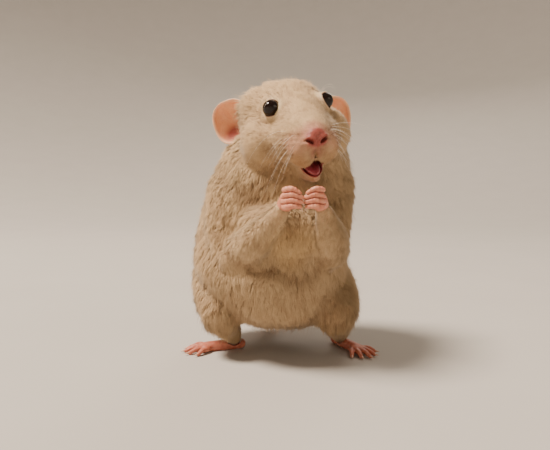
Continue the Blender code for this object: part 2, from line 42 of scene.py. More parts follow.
# The head turns about the point midway between the eyes.
HEAD_AT = Vector((11.0, -28.0, 128.0))
HEAD_YAW, HEAD_PITCH, HEAD_ROLL = math.radians(13.5), math.radians(8.5), math.radians(10)
SNOUT_LEAN, SNOUT_REACH = 0.9, 26.0
EYE_AT, EYE_LOOKS, EYE_RADIUS = (-0.3, 13.2, -0.3), (0.68, 0.62, 0.38), 4.15
# How far the lids open round each eye's axis, along and across their slant, the slant, and how
# much lower the opening sits, all in degrees, by side.
OPENINGS = {1: (74, 55, -46, 15), -1: (106, 76, 0, 0)}
NOSE_AT = (26.2, 0.0, -14.2)
MOUTH_AT, MOUTH_RADII, MOUTH_TURN = (12.5, 0.0, -28.2), (11.0, 5.2, 3.9), math.radians(20)

# Side, distance out, height and the angle at which each ear opens from straight ahead.
EARS = {"ear_left": (1, 28.3, -9.4, 28), "ear_right": (-1, 29.2, -4.0, 34)}
EAR_HALF_WIDTH, EAR_HALF_HEIGHT, EAR_DEPTH, EAR_FORWARD = 10.8, 11.2, 4.4, -25.0
# Above 2 an ear is a little squarer than an ellipse.
EAR_SQUARE, EAR_WALL = 2.5, 0.7 * MM

FLESH = (
    "belly chest neck rump head lower_jaw upper_arm_left upper_arm_right forearm_left "
    "forearm_right thigh_left thigh_right shank_left shank_right"
).split()

# By the start of a node's name: how deep the coat lies there and how long its hair is, in
# millimetres, how dense it is, and which way it lies.
COAT = {
    "belly": (2.0, 5.0, 1.0, (0.0, 0.25, -1.0)),
    "chest": (2.0, 5.0, 1.0, (0.0, 0.1, -1.0)),
    "neck": (1.9, 4.6, 1.1, (0.0, 0.3, -1.0)),
    "rump": (2.0, 5.2, 1.0, (0.0, 0.5, -1.0)),
    "head": (1.2, 3.0, 1.5, None),
    "lower_jaw": (0.7, 1.8, 1.6, None),
    "upper_arm": (1.8, 4.4, 1.1, (0.0, -0.1, -1.0)),
    "forearm_left": (1.2, 3.0, 1.3, (-0.40, -0.15, 0.18)),
    "forearm_right": (1.2, 3.0, 1.3, (0.45, -0.15, 0.15)),
    "thigh": (2.0, 4.8, 1.0, (0.0, -0.3, -0.8)),
    "shank": (1.1, 3.0, 1.4, (0.0, 0.4, -0.8)),
}
TUFTS = 240000
PIECE_TUFTS = 32000
# Large clumps lean together, and the tips of small ones are drawn to each other.
LOCKS, CLUMPS, CLUMPING = 1300, 11000, 0.22
# How much locks, clumps and tufts differ: in swing, in how far they rise, in length and in tone.
SPREADS = (
    (0.18, 0.15, 0.12),
    (0.12, 0.13, 0.12),
    (0.05, 0.08, 0.12),
    (0.13, 0.16, 0.15),
)
# The share of long fine hairs that stand out from the coat.
GUARD_SHARE = 0.035
# How much of a tuft's shading comes from the skin that it lies on.
SOFTNESS = 0.82


# Places and small helpers


def head_axes():
    """The head's forward, left and up, as the columns of a matrix."""
    forward = Vector((math.sin(HEAD_YAW), -math.cos(HEAD_YAW), 0))
    left = Vector((math.cos(HEAD_YAW), math.sin(HEAD_YAW), 0))
    up = Vector((0, 0, 1))
    nose_on = forward * math.cos(HEAD_PITCH) - up * math.sin(HEAD_PITCH)
    crown = up * math.cos(HEAD_PITCH) + forward * math.sin(HEAD_PITCH)
    left_up = left * math.cos(HEAD_ROLL) + crown * math.sin(HEAD_ROLL)
    crown = crown * math.cos(HEAD_ROLL) - left * math.sin(HEAD_ROLL)
    return Matrix((nose_on, left_up, crown)).transposed()


def find_middle():
    """The drawn point that the frame stands on the origin, from where its eyes are."""
    shifts = []
    for side, node in ((1, "eye_left"), (-1, "eye_right")):
        low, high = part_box(node)
        eye = HEAD_AT + AXES @ Vector(eye_place(side))
        shifts.append(eye - (low + high) / 2 / UNIT)
    return (shifts[0] + shifts[1]) / 2


def at(x, y, z):
    return (Vector((x, y, z)) - MIDDLE) * UNIT


def drawn(points):
    """Points in metres, in drawn units."""
    return points / UNIT + np.array(MIDDLE)


def in_metres(points):
    """Rows of drawn units, in metres."""
    return (points - np.array(MIDDLE)) * UNIT


def leaned(local, way=-1):
    """Points of the head bent a little to the rat's right with the snout, or bent back."""
    bent = np.array(local, float)
    bent[..., 1] += way * SNOUT_LEAN * np.maximum(0, bent[..., 0] / SNOUT_REACH) ** 2
    return bent


def from_head(local):
    """Rows of forward, left and up on the head, in drawn units, as points in metres."""
    return in_metres(leaned(local) @ np.array(AXES).T + np.array(HEAD_AT))


def on_head(x, y, z):
    return Vector(from_head((x, y, z)))


def to_head(points):
    """Points in metres as rows of forward, left and up on the head, in drawn units."""
    return leaned((drawn(points) - np.array(HEAD_AT)) @ np.array(AXES), 1)


def eye_axis(side):
    return Vector((EYE_LOOKS[0], side * EYE_LOOKS[1], EYE_LOOKS[2])).normalized()


def eye_place(side):
    x, y, z = EYE_AT
    return np.array([x, side * y, z])


def eye_gap(local):
    """How far points of the head are from the middle of the nearer eye."""
    gaps = [lengths(local - eye_place(side)) for side in (-1, 1)]
    return np.minimum(*gaps)


def eye_axes(side):
    """The way the eye looks, and across and up from it, in the head's axes."""
    axis = np.array(eye_axis(side))
    up = unit_rows(np.array([0, 0, 1.0]) - axis * axis[2])
    return axis, np.cross(up, axis), up


def lids_at(side, turn):
    """The angle between the eye's axis and its lids, that far round from across."""
    wide, tall, slant, low = OPENINGS[side]
    lift = low * np.sin(turn)
    turn = turn - math.radians(slant)
    corner = 3.0 * np.exp(-((np.sin(turn) / 0.22) ** 2))
    return corner - lift + 1 / np.sqrt((np.cos(turn) / wide) ** 2 + (np.sin(turn) / tall) ** 2)


def smooth_step(low, high, value):
    share = np.clip((value - low) / (high - low), 0, 1)
    return share * share * (3 - 2 * share)


def lengths(rows):
    return np.linalg.norm(rows, axis=1)


def gaps_to(points, place):
    """How far points in metres are from a drawn place, in drawn units."""
    return lengths(points - np.array(at(*place))) / UNIT


def unit_rows(rows):
    return rows / np.maximum(np.linalg.norm(rows, axis=-1, keepdims=True), 1e-12)


def points_of(mesh):
    points = np.empty(len(mesh.vertices) * 3)
    mesh.vertices.foreach_get("co", points)
    return points.reshape(-1, 3)


def normals_of(mesh):
    normals = np.empty(len(mesh.vertices) * 3, np.float32)
    mesh.vertex_normals.foreach_get("vector", normals)
    return normals.reshape(-1, 3).astype(float)


def set_points(mesh, points):
    mesh.vertices.foreach_set("co", np.asarray(points, np.float32).ravel())
    mesh.update()


def edges_of(mesh):
    edges = np.empty(len(mesh.edges) * 2, np.int32)
    mesh.edges.foreach_get("vertices", edges)
    return edges.reshape(-1, 2)


def eased(values, edges, rounds, weight=1.0):
    """Values at the vertices, eased towards their neighbours' a number of times."""
    values = np.array(values, float)
    flat = values.ndim == 1
    if flat:
        values = values[:, None]
    weight = np.broadcast_to(np.asarray(weight, float).reshape(-1, 1), (len(values), 1))
    count = len(values)
    a, b = edges[:, 0], edges[:, 1]
    degree = np.maximum(np.bincount(a, minlength=count) + np.bincount(b, minlength=count), 1)
    for _ in range(rounds):
        mean = np.empty_like(values)
        for k in range(values.shape[1]):
            mean[:, k] = np.bincount(a, values[b, k], count) + np.bincount(b, values[a, k], count)
        values = values + 0.5 * weight * (mean / degree[:, None] - values)
    return values[:, 0] if flat else values


def store(mesh, name, values):
    """Keeps one number a vertex on the mesh, for its material."""
    layer = mesh.attributes.new(name, "FLOAT", "POINT")
    layer.data.foreach_set("value", np.asarray(values, np.float32))


def new_object(name, mesh):
    thing = bpy.data.objects.new(name, mesh)
    bpy.context.scene.collection.objects.link(thing)
    return thing


def only(thing):
    """Deselects everything else and makes this piece the active one."""
    bpy.ops.object.select_all(action="DESELECT")
    thing.select_set(True)
    bpy.context.view_layer.objects.active = thing


def apply_all(thing):
    only(thing)
    for modifier in list(thing.modifiers):
        bpy.ops.object.modifier_apply(modifier=modifier.name)


def settle(thing):
    """Writes a piece's place and its modifiers into its mesh."""
    only(thing)
    bpy.ops.object.transform_apply(location=True, rotation=True, scale=True)
    apply_all(thing)


def make_outward(thing):
    """Turns all faces outwards."""
    only(thing)
    bpy.ops.object.mode_set(mode="EDIT")
    bpy.ops.mesh.select_all(action="SELECT")
    bpy.ops.mesh.normals_make_consistent(inside=False)
    bpy.ops.object.mode_set(mode="OBJECT")


def dress(thing, material):
    thing.data.materials.clear()
    thing.data.materials.append(material)
    thing.data.shade_smooth()
    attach(thing, "root")


def mesh_from(name, points, faces):
    """A mesh from arrays of points and triangles."""
    mesh = bpy.data.meshes.new(name)
    faces = np.asarray(faces, np.int32).reshape(-1, 3)
    mesh.vertices.add(len(points))
    mesh.vertices.foreach_set("co", np.asarray(points, np.float32).ravel())
    mesh.loops.add(faces.size)
    mesh.loops.foreach_set("vertex_index", faces.ravel())
    mesh.polygons.add(len(faces))
    mesh.polygons.foreach_set("loop_start", np.arange(0, faces.size, 3, dtype=np.int32))
    mesh.update(calc_edges=True)
    mesh.validate()
    return mesh


def disc_faces(rings, around):
    """Triangles round a middle point and out over a number of rings."""
    faces = []
    for i in range(around):
        j = (i + 1) % around
        faces.append((0, 1 + i, 1 + j))
        for k in range(rings - 1):
            a, b = 1 + k * around, 1 + (k + 1) * around
            faces += [(a + i, b + i, b + j), (a + i, b + j, a + j)]
    return faces


def tubes(lines, radii, around):
    """Closed tapering tubes with the same number of rings: n x rings x 3 and n x rings."""
    count, rings, _ = lines.shape
    ways = np.gradient(lines, axis=1)
    ways = unit_rows(ways)
    side = np.cross(ways[:, 0], [0.31, 0.22, 0.92])
    sides = np.empty_like(lines)
    for k in range(rings):
        side = unit_rows(side - ways[:, k] * (side * ways[:, k]).sum(axis=1, keepdims=True))
        sides[:, k] = side
    ups = np.cross(ways, sides)
    turn = 2 * np.pi * np.arange(around) / around
    ring = (
        sides[:, :, None] * np.cos(turn)[None, None, :, None]
        + ups[:, :, None] * np.sin(turn)[None, None, :, None]
    )
    body = lines[:, :, None] + ring * radii[:, :, None, None]
    ends = lines[:, [0, -1]] + ways[:, [0, -1]] * radii[:, [0, -1], None] * [[[-0.7], [0.7]]]
    points = np.concatenate([body.reshape(count, -1, 3), ends], axis=1)
    faces = []
    for k in range(rings - 1):
        for i in range(around):
            j = (i + 1) % around
            a, b = k * around + i, k * around + j
            c, d = b + around, a + around
            faces += [(a, b, c), (a, c, d)]
    root, tip = rings * around, rings * around + 1
    last = (rings - 1) * around
    for i in range(around):
        j = (i + 1) % around
        faces += [(root, j, i), (tip, last + i, last + j)]
    faces = np.array(faces)
    each = points.shape[1]
    faces = (faces[None] + each * np.arange(count)[:, None, None]).reshape(-1, 3)
    return points.reshape(-1, 3), faces


def through(rows, count):
    """Count rows on a smooth curve through the given rows."""
    rows = np.array(rows, float)
    padded = np.vstack([2 * rows[0] - rows[1], rows, 2 * rows[-1] - rows[-2]])
    found = []
    for spot in np.linspace(0, len(rows) - 1, count):
        first = min(int(spot), len(rows) - 2)
        t = spot - first
        a, b, c, d = padded[first : first + 4]
        bend = 2 * a - 5 * b + 4 * c - d
        twist = 3 * (b - c) + d - a
        found.append(b + t * ((c - a) + t * (bend + t * twist)) / 2)
    return np.array(found)


# Materials


class Nodes:
    """A material's node tree, with its Principled shader."""

    def __init__(self, name):
        self.material = bpy.data.materials.new(name)
        self.material.use_nodes = True
        self.tree = self.material.node_tree
        self.shader = self.tree.nodes["Principled BSDF"]
        self.place = self.add("ShaderNodeTexCoord").outputs["Object"]

    def add(self, kind, **settings):
        node = self.tree.nodes.new(kind)
        for name, value in settings.items():
            setattr(node, name, value)
        return node

    def link(self, source, target):
        self.tree.links.new(source, target)

    def put(self, socket, value):
        if isinstance(value, bpy.types.NodeSocket):
            self.link(value, socket)
        else:
            socket.default_value = value

    def set(self, **values):
        for name, value in values.items():
            self.put(self.shader.inputs[name.replace("_", " ")], value)

    def scatter(self, weight, scale, radius=(1.0, 0.35, 0.2)):
        """Light that goes a little way into bare skin."""
        self.set(Subsurface_Weight=weight, Subsurface_Scale=scale, Subsurface_Radius=radius)

    def noise(self, scale, detail=3.0, roughness=0.5, stretch=(1, 1, 1)):
        turn = self.add("ShaderNodeMapping")
        turn.inputs["Scale"].default_value = stretch
        self.link(self.place, turn.inputs["Vector"])
        noise = self.add("ShaderNodeTexNoise")
        noise.inputs["Scale"].default_value = scale
        noise.inputs["Detail"].default_value = detail
        noise.inputs["Roughness"].default_value = roughness
        self.link(turn.outputs[0], noise.inputs["Vector"])
        return noise.outputs["Fac"]

    def cells(self, scale, feature="F1"):
        cells = self.add("ShaderNodeTexVoronoi", feature=feature)
        cells.inputs["Scale"].default_value = scale
        self.link(self.place, cells.inputs["Vector"])
        return cells.outputs["Distance"]

    def stored(self, name):
        return self.add("ShaderNodeAttribute", attribute_name=name).outputs["Fac"]

    def ramp(self, value, *stops):
        """Colours or greys along a value, given as (place, colour)."""
        ramp = self.add("ShaderNodeValToRGB")
        points = ramp.color_ramp.elements
        while len(points) < len(stops):
            points.new(1.0)
        for point, (place, colour) in zip(points, stops):
            point.position = place
            if isinstance(colour, (int, float)):
                colour = (colour,) * 3
            point.color = (*colour, 1)
        self.link(value, ramp.inputs["Fac"])
        return ramp.outputs["Color"]

    def between(self, value, low=0.3, high=0.7):
        """A value spread from 0 at the low end to 1 at the high end."""
        return self.ramp(value, (low, 0.0), (high, 1.0))

    def mix(self, share, first, second, kind="MIX"):
        mix = self.add("ShaderNodeMix", data_type="RGBA", blend_type=kind)
        self.put(mix.inputs[0], share)
        for socket, colour in ((mix.inputs[6], first), (mix.inputs[7], second)):
            if isinstance(colour, tuple):
                colour = (*colour, 1)
            self.put(socket, colour)
        return mix.outputs[2]

    def sum(self, first, second, operation="ADD"):
        node = self.add("ShaderNodeMath", operation=operation)
        self.put(node.inputs[0], first)
        self.put(node.inputs[1], second)
        return node.outputs[0]

    def value(self, number):
        node = self.add("ShaderNodeValue")
        node.outputs[0].default_value = number
        return node.outputs[0]

    def near(self, centre, radius, edge):
        """1 within a ball about a point, falling to 0 over the edge beyond it."""
        away = self.add("ShaderNodeVectorMath", operation="DISTANCE")
        self.link(self.place, away.inputs[0])
        away.inputs[1].default_value = centre
        span = self.add("ShaderNodeMapRange", interpolation_type="SMOOTHSTEP")
        self.link(away.outputs["Value"], span.inputs["Value"])
        for name, value in zip(
            ("From Min", "From Max", "To Min", "To Max"), (radius, radius + edge, 1, 0)
        ):
            span.inputs[name].default_value = value
        return span.outputs["Result"]

    def bump(self, height, distance, strength=1.0):
        bump = self.add("ShaderNodeBump")
        bump.inputs["Strength"].default_value = strength
        bump.inputs["Distance"].default_value = distance
        self.link(height, bump.inputs["Height"])
        self.link(bump.outputs["Normal"], self.shader.inputs["Normal"])


BACK_COAT = (0.55, 0.37, 0.20)
PALE_COAT = (0.65, 0.455, 0.265)
WARM_COAT = (0.60, 0.40, 0.22)
TIP_COAT = (0.88, 0.70, 0.43)
TAN_COAT = (0.50, 0.28, 0.13)
BLUSH_COAT = (0.60, 0.29, 0.19)
BARE_PINK = (0.21, 0.042, 0.034)
NOSE_COAT = (0.44, 0.18, 0.125)
BIB_COAT = (0.66, 0.43, 0.20)
DEEP_COAT = (0.24, 0.14, 0.075)


def markings(nodes):
    """The coat's colour: beige, with a paler belly, a golden bib, a pink chin and nose, and painted
    shade.
    """
    cloud = nodes.noise(70, 3, 0.6)
    strands = nodes.noise(420, 2, 0.6)
    where = {
        "belly": [(at(6, -34, 48), 16, 24)],
        "bib": [(at(8, -42, 60), 7, 9)],
        "blush": [(on_head(11, 0, -36), 3, 7), (on_head(22, 0, -23), 1, 2.5)],
        "nose": [(on_head(24.5, 0, -13.8), 4.6, 4.6), (on_head(23.5, 0, -21.5), 1.5, 4)],
        "lips": [],
        "lids": [],
    }
    for side in (-1, 1):
        where["blush"].append((on_head(20.5, side * 9, -16.5), 3, 6))
        where["lips"].append((on_head(19, side * 8.5, -24), 2.5, 4))
        where["lids"].append((on_head(*eye_place(side)), 4.6, 2.4))
    colour = nodes.mix(nodes.between(cloud, 0.35), BACK_COAT, WARM_COAT)
    for part, share, tint in (
        ("belly", 0.5, PALE_COAT),
        ("bib", 0.8, BIB_COAT),
        ("blush", 0.7, BLUSH_COAT),
        ("lips", 0.8, TAN_COAT),
        ("lids", 0.6, TIP_COAT),
        ("nose", 0.8, NOSE_COAT),
    ):
        place = nodes.value(0)
        for middle, radius, edge in where[part]:
            place = nodes.sum(place, nodes.near(middle, radius * UNIT, edge * UNIT), "MAXIMUM")
        colour = nodes.mix(nodes.sum(place, share, "MULTIPLY"), colour, tint)
    # Painted shade in the creases and hollows, under the head and low on the body, with the dark dots
    # of the whisker follicles.
    dark = nodes.mix(1.0, colour, (0.34, 0.25, 0.20), "MULTIPLY")
    colour = nodes.mix(nodes.stored("shade"), colour, dark)
    return nodes.mix(0.2, colour, nodes.ramp(strands, (0.3, 0.6), (0.7, 1.0)), "MULTIPLY")


def coat_material():
    nodes = Nodes("short_beige_coat")
    along = nodes.stored("along")
    tone = nodes.stored("tone")
    root = nodes.ramp(along, (0.0, 0.8), (0.5, 0.96), (1.0, 1.0))
    colour = nodes.mix(1.0, markings(nodes), root, "MULTIPLY")
    tip = nodes.sum(nodes.sum(along, tone, "MULTIPLY"), 0.55, "MULTIPLY")
    colour = nodes.mix(tip, colour, nodes.mix(0.5, colour, TIP_COAT))
    dull = nodes.ramp(tone, (0.0, 0.32), (0.5, 0.0))
    nodes.set(Base_Color=nodes.mix(dull, colour, DEEP_COAT))
    nodes.set(Roughness=0.7, Sheen_Weight=0.15, Sheen_Roughness=0.5, Specular_IOR_Level=0.2)
    return nodes.material


def skin_material():
    nodes = Nodes("skin_under_coat")
    mouth = nodes.stored("mouth")
    deep = nodes.stored("deep")
    grain = nodes.noise(1500, 4, 0.6)
    pores = nodes.cells(1700)
    edge = nodes.sum(nodes.stored("bare"), nodes.sum(nodes.noise(600, 3), 0.4, "MULTIPLY"))
    bare = nodes.between(edge, 0.3, 1.0)
    pink = nodes.mix(nodes.between(grain, 0.3, 0.75), BARE_PINK, (0.35, 0.095, 0.074))
    # Painted shade in the nostril slits.
    pink = nodes.mix(deep, pink, (0.14, 0.022, 0.017))
    under = nodes.mix(0.12, markings(nodes), (0.70, 0.42, 0.32))
    colour = nodes.mix(bare, under, pink)
    inside = nodes.mix(grain, (0.14, 0.018, 0.022), (0.29, 0.05, 0.05))
    colour = nodes.mix(mouth, colour, inside)
    moist = nodes.ramp(nodes.sum(bare, mouth), (0.0, 0.8), (0.6, 0.56), (1.0, 0.42))
    nodes.set(Base_Color=colour, Roughness=moist, Specular_IOR_Level=0.35)
    nodes.scatter(0.25, 0.001)
    height = nodes.sum(nodes.between(pores, 0.0, 0.6), grain)
    nodes.bump(height, 0.00012, 0.6)
    return nodes.material


def ear_material():
    nodes = Nodes("thin_pink_ear")
    rim = nodes.stored("rim")
    hollow = nodes.stored("hollow")
    cloud = nodes.noise(260, 3, 0.55)
    veins = nodes.cells(330, "DISTANCE_TO_EDGE")
    colour = nodes.mix(nodes.between(cloud), (0.74, 0.32, 0.15), (0.82, 0.42, 0.215))
    lines = nodes.ramp(veins, (0.0, 1.0), (0.05, 0.0))
    colour = nodes.mix(nodes.sum(lines, 0.22, "MULTIPLY"), colour, (0.66, 0.22, 0.16))
    # The hollow low inside the ear: deeper red skin, with painted shade over it.
    colour = nodes.mix(nodes.between(hollow, 0.0), colour, (0.30, 0.055, 0.032))
    colour = nodes.mix(nodes.sum(rim, 0.8, "MULTIPLY"), colour, (0.86, 0.58, 0.39))
    nodes.set(Base_Color=colour, Roughness=0.62, Sheen_Weight=0.1, Specular_IOR_Level=0.3)
    nodes.scatter(0.35, 0.0015, (1.0, 0.32, 0.16))
    nodes.bump(nodes.sum(nodes.noise(900, 3, 0.6), lines), 0.00012, 0.5)
    return nodes.material


def paw_material(name, deep, pale):
    nodes = Nodes(name)
    crease = nodes.stored("crease")
    cloud = nodes.noise(500, 3, 0.5)
    colour = nodes.mix(nodes.between(cloud), deep, pale)
    # Painted shade in the creases between the fingers and toes and in the paws' hollows.
    colour = nodes.mix(crease, colour, (0.26, 0.055, 0.035))
    nodes.set(Base_Color=colour, Roughness=0.46)
    nodes.scatter(0.3, 0.0012, (1.0, 0.32, 0.18))
    nodes.bump(nodes.sum(nodes.cells(1500), nodes.noise(2500, 2)), 0.00012, 0.5)
    return nodes.material


def tail_material():
    nodes = Nodes("ringed_tail")
    groove = nodes.stored("groove")
    cloud = nodes.noise(220, 3, 0.6)
    colour = nodes.mix(nodes.between(cloud), (0.66, 0.40, 0.32), (0.78, 0.55, 0.45))
    colour = nodes.mix(groove, colour, (0.42, 0.21, 0.16))
    nodes.set(Base_Color=colour, Roughness=0.55)
    nodes.scatter(0.15, 0.001)
    nodes.bump(nodes.sum(nodes.cells(1300), nodes.noise(2500, 2)), 0.0001, 0.5)
    return nodes.material


def eye_material():
    nodes = Nodes("wet_black_eye")
    look = nodes.noise(300, 2)
    nodes.set(Base_Color=nodes.mix(look, (0.004, 0.0015, 0.001), (0.012, 0.004, 0.003)))
    nodes.set(Roughness=0.045, Specular_IOR_Level=0.30)
    return nodes.material


def lid_material():
    nodes = Nodes("lids")
    grain = nodes.noise(1600, 3)
    hairs = nodes.noise(2600, 2, 0.6, (1, 1, 0.35))
    coat = nodes.mix(hairs, (0.46, 0.30, 0.175), (0.76, 0.57, 0.375))
    bare = nodes.mix(grain, (0.05, 0.018, 0.012), (0.18, 0.08, 0.05))
    nodes.set(Base_Color=nodes.mix(nodes.stored("margin"), coat, bare))
    nodes.set(Roughness=0.5)
    nodes.bump(hairs, 0.0002, 0.8)
    return nodes.material


def tongue_material():
    nodes = Nodes("moist_tongue")
    grain = nodes.noise(1800, 3)
    nodes.set(Base_Color=nodes.mix(grain, (0.22, 0.03, 0.045), (0.36, 0.065, 0.08)))
    nodes.set(Roughness=0.28, Subsurface_Weight=0.2, Subsurface_Scale=0.001)
    nodes.bump(nodes.cells(2200), 0.00012, 0.6)
    return nodes.material


def horn_material(name, dark, pale, roughness):
    nodes = Nodes(name)
    streaks = nodes.noise(900, 2, 0.5, (1, 1, 0.3))
    nodes.set(Base_Color=nodes.mix(streaks, dark, pale), Roughness=roughness)
    return nodes.material


# The skin


def flesh():
    """Copies of the furred solids, a little swollen so that they run into each other."""
    bm = bmesh.new()
    for name in FLESH:
        one = bmesh.new()
        one.from_mesh(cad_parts[name].data)
        bmesh.ops.remove_doubles(one, verts=one.verts, dist=1e-6)
        one.normal_update()
        moves = [vertex.normal * SWELL for vertex in one.verts]
        for vertex, move in zip(one.verts, moves):
            vertex.co += move
        part = bpy.data.meshes.new("part")
        one.to_mesh(part)
        one.free()
        bm.from_mesh(part)
        bpy.data.meshes.remove(part)
    mesh = bpy.data.meshes.new("skin")
    bm.to_mesh(mesh)
    bm.free()
    return new_object("skin", mesh)


def label_tree():
    """A tree over all furred solids, and the node of each of its faces."""
    points, faces, names = [], [], []
    for name in FLESH:
        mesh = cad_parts[name].data
        first = len(points)
        points += [vertex.co for vertex in mesh.vertices]
        faces += [[first + i for i in face.vertices] for face in mesh.polygons]
        names += [name] * len(mesh.polygons)
    return bvhtree.BVHTree.FromPolygons(points, faces), names


def coat_of(name):
    return next(values for start, values in COAT.items() if name.startswith(start))


def mouth_distance(local):
    """Below 1 inside the form that was cut for the mouth."""
    turn = Matrix.Rotation(MOUTH_TURN, 3, "Y")
    inside = (local - np.array(MOUTH_AT)) @ np.array(turn)
    return lengths(inside / np.array(MOUTH_RADII))


def refine_face(thing):
    """Splits the faces round the eyes and mouth once, and on the nose twice."""
    for level in range(2):
        bm = bmesh.new()
        bm.from_mesh(thing.data)
        centres = np.array([face.calc_center_median() for face in bm.faces])
        local = to_head(centres)
        nose = lengths(local - np.array(NOSE_AT)) < (9.5, 7.5)[level]
        chosen = nose
        if level == 0:
            chosen |= eye_gap(local) < 8.5
            chosen |= (mouth_distance(local) < 1.7) & (local[:, 0] > 6)
        faces = [face for face, take in zip(bm.faces, chosen) if take]
        edges = list({edge for face in faces for edge in face.edges})
        bmesh.ops.subdivide_edges(bm, edges=edges, cuts=1, use_grid_fill=True)
        bmesh.ops.triangulate(bm, faces=[face for face in bm.faces if len(face.verts) > 4])
        bm.to_mesh(thing.data)
        bm.free()


# Where the skin runs smoothly from the head onto the neck, and how far round.
NAPE_AT, NAPE_REACH = (-38.0, 0.0, 2.0), 17.0

# Creases of the body: points along each, half its width, depth in millimetres and darkness of
# the painted shade laid along it.
CREASES = (
    (
        ((-30, -25, 70), (-27, -28, 64), (-23, -35, 59), (-18, -38, 54), (-9, -38, 50), (0, -37, 53)),
        2.4,
        1.0,
        0.5,
    ),
    (((0, -38, 52), (7, -37, 49), (14, -35, 48), (20, -31, 50), (26, -33, 54)), 3.4, 0.7, 0.5),
    (((-27, -14, 95), (-19, -22, 90), (-12, -27, 85), (-4, -31, 81)), 3.6, 0.9, 0.5),
    (((-25, -30, 41), (-20, -30, 34), (-16, -29, 28), (-10, -26, 23)), 2.6, 0.5, 0.3),
    (((18, -27, 24), (23, -28, 33), (27, -25, 39)), 2.6, 0.5, 0.35),
    (((11, -40, 76), (8, -42, 71), (6, -41, 65)), 2.0, 0.5, 0.4),
)
# Painted shade under the head and low on the body, where the coat is darkened: middle, reach,
# darkness.
PAINTED_SHADE = (
    ((-8, -27, 90), 9, 0.45),
    ((25, -24, 92), 9, 0.4),
    ((10, -36, 88), 7, 0.3),
    ((-26, -16, 26), 15, 0.6),
    ((28, -16, 24), 15, 0.6),
    ((3, -24, 18), 15, 0.7),
)


def body_creases(points):
    """How deep the body's skin sinks along its creases, and how much painted shade darkens the coat
    there and in the shaded places.
    """
    places = drawn(points)
    folds, shade = np.zeros(len(points)), np.zeros(len(points))
    for path, half, depth, dark in CREASES:
        gap = along_path(places, path)[0]
        inside = np.exp(-((gap / half) ** 2))
        folds += depth * inside
        shade += dark * inside
    for middle, reach, dark in PAINTED_SHADE:
        gap = lengths(places - middle)
        shade += dark * np.exp(-((gap / reach) ** 2))
    return folds, shade


def along_path(points, path):
    """How far points are from a line through the given places, and how far along it, 0 to 1."""
    path = np.array(path, float)
    best, spot = np.full(len(points), 1e9), np.zeros(len(points))
    for k, (first, last) in enumerate(zip(path[:-1], path[1:])):
        way = last - first
        share = np.clip((points - first) @ way / (way @ way), 0, 1)
        gap = lengths(points - first - share[:, None] * way)
        spot = np.where(gap < best, (k + share) / (len(path) - 1), spot)
        best = np.minimum(gap, best)
    return best, spot


# Hollows of each side of the face: middle, reach, depth in millimetres and darkness of the painted
# shade in them.
HOLLOWS = (
    ((11.4, 14.7, -12.2), (2.6, 3.6, 3.2), 1.1, 0.45),
    ((7.6, 16.6, -19.0), (2.8, 3.6, 4.4), 1.4, 0.50),
    ((5.5, 13.5, -28.0), (3.6, 3.6, 3.6), 1.0, 0.50),
    ((-0.2, 17.6, -6.2), (4.2, 3.4, 1.7), 0.7, 0.35),
    ((-4.0, 22.0, -11.5), (5.0, 4.0, 1.8), 0.6, 0.25),
    ((-9.0, 25.0, -19.0), (2.4, 4.0, 4.0), 0.6, 0.25),
)
PAD_AT = (20.5, -16.8)


def on_pads(local):
    """1 on the whisker pads, where the coat is sparse, falling to 0 beside them."""
    away = np.hypot(local[:, 0] - PAD_AT[0], local[:, 2] - PAD_AT[1])
    return (1 - smooth_step(3.0, 8.0, away)) * smooth_step(2.0, 5.0, np.abs(local[:, 1]))


def follicles():
    """Forward, out and height of each whisker's root, with its row and column."""
    return [
        ((21.8 - 2.3 * column - 0.35 * row, 9.0, -12.4 - 2.2 * row), row, column)
        for row in range(5)
        for column in range(5)
    ]


def face_folds(local):
    """How much deeper the coat lies in the face's hollows, the painted shade there, and the whisker
    follicles' dark dots.
    """
    x, y, z = local.T
    folds, shade = np.zeros(len(local)), np.zeros(len(local))
    beside = np.stack([x, np.abs(y), z], axis=1)
    for middle, reach, depth, dark in HOLLOWS:
        inside = np.exp(-(((beside - middle) / reach) ** 2).sum(axis=1))
        folds += depth * inside
        shade += 1.3 * dark * inside
    for (forward, _, height), _, _ in follicles():
        gap = (x - forward) ** 2 + (z - height) ** 2
        shade += 0.95 * np.exp(-gap / 0.85**2) * smooth_step(3.0, 5.0, np.abs(y)) * (x > 8)
    return folds, shade


def shape_nose(local):
    """How the nose's skin moves: bulb, wings, slanted nostrils and the groove below them."""
    x, y, z = local.T
    side = np.abs(y)
    front = smooth_step(19.0, 22.5, x)
    move = np.zeros_like(local)
    # Slanted nostril slits open to the side, curling down at their outer end.
    across, up = side - 3.3, z + 16.0
    slant = math.radians(24)
    along = across * math.cos(slant) + up * math.sin(slant)
    rise = -across * math.sin(slant) + up * math.cos(slant) + 0.10 * along**2
    slit = np.exp(-((along / 2.0) ** 4) - (rise / 0.72) ** 2)
    move[:, 0] -= 2.2 * slit * front
    rim = np.exp(-((along / 2.9) ** 4) - ((rise - 1.5) / 0.95) ** 2)
    move[:, 0] += 0.55 * rim * front
    lower = np.exp(-((along / 2.6) ** 4) - ((rise + 1.4) / 0.8) ** 2)
    move[:, 0] += 0.30 * lower * front
    # The groove from between the nostrils to the cleft of the lip.
    groove = np.exp(-((side / 0.6) ** 2)) * smooth_step(-24.5, -23.0, z)
    groove *= 1 - smooth_step(-15.0, -13.4, z)
    move[:, 0] -= 0.35 * groove * front
    return move, slit * front


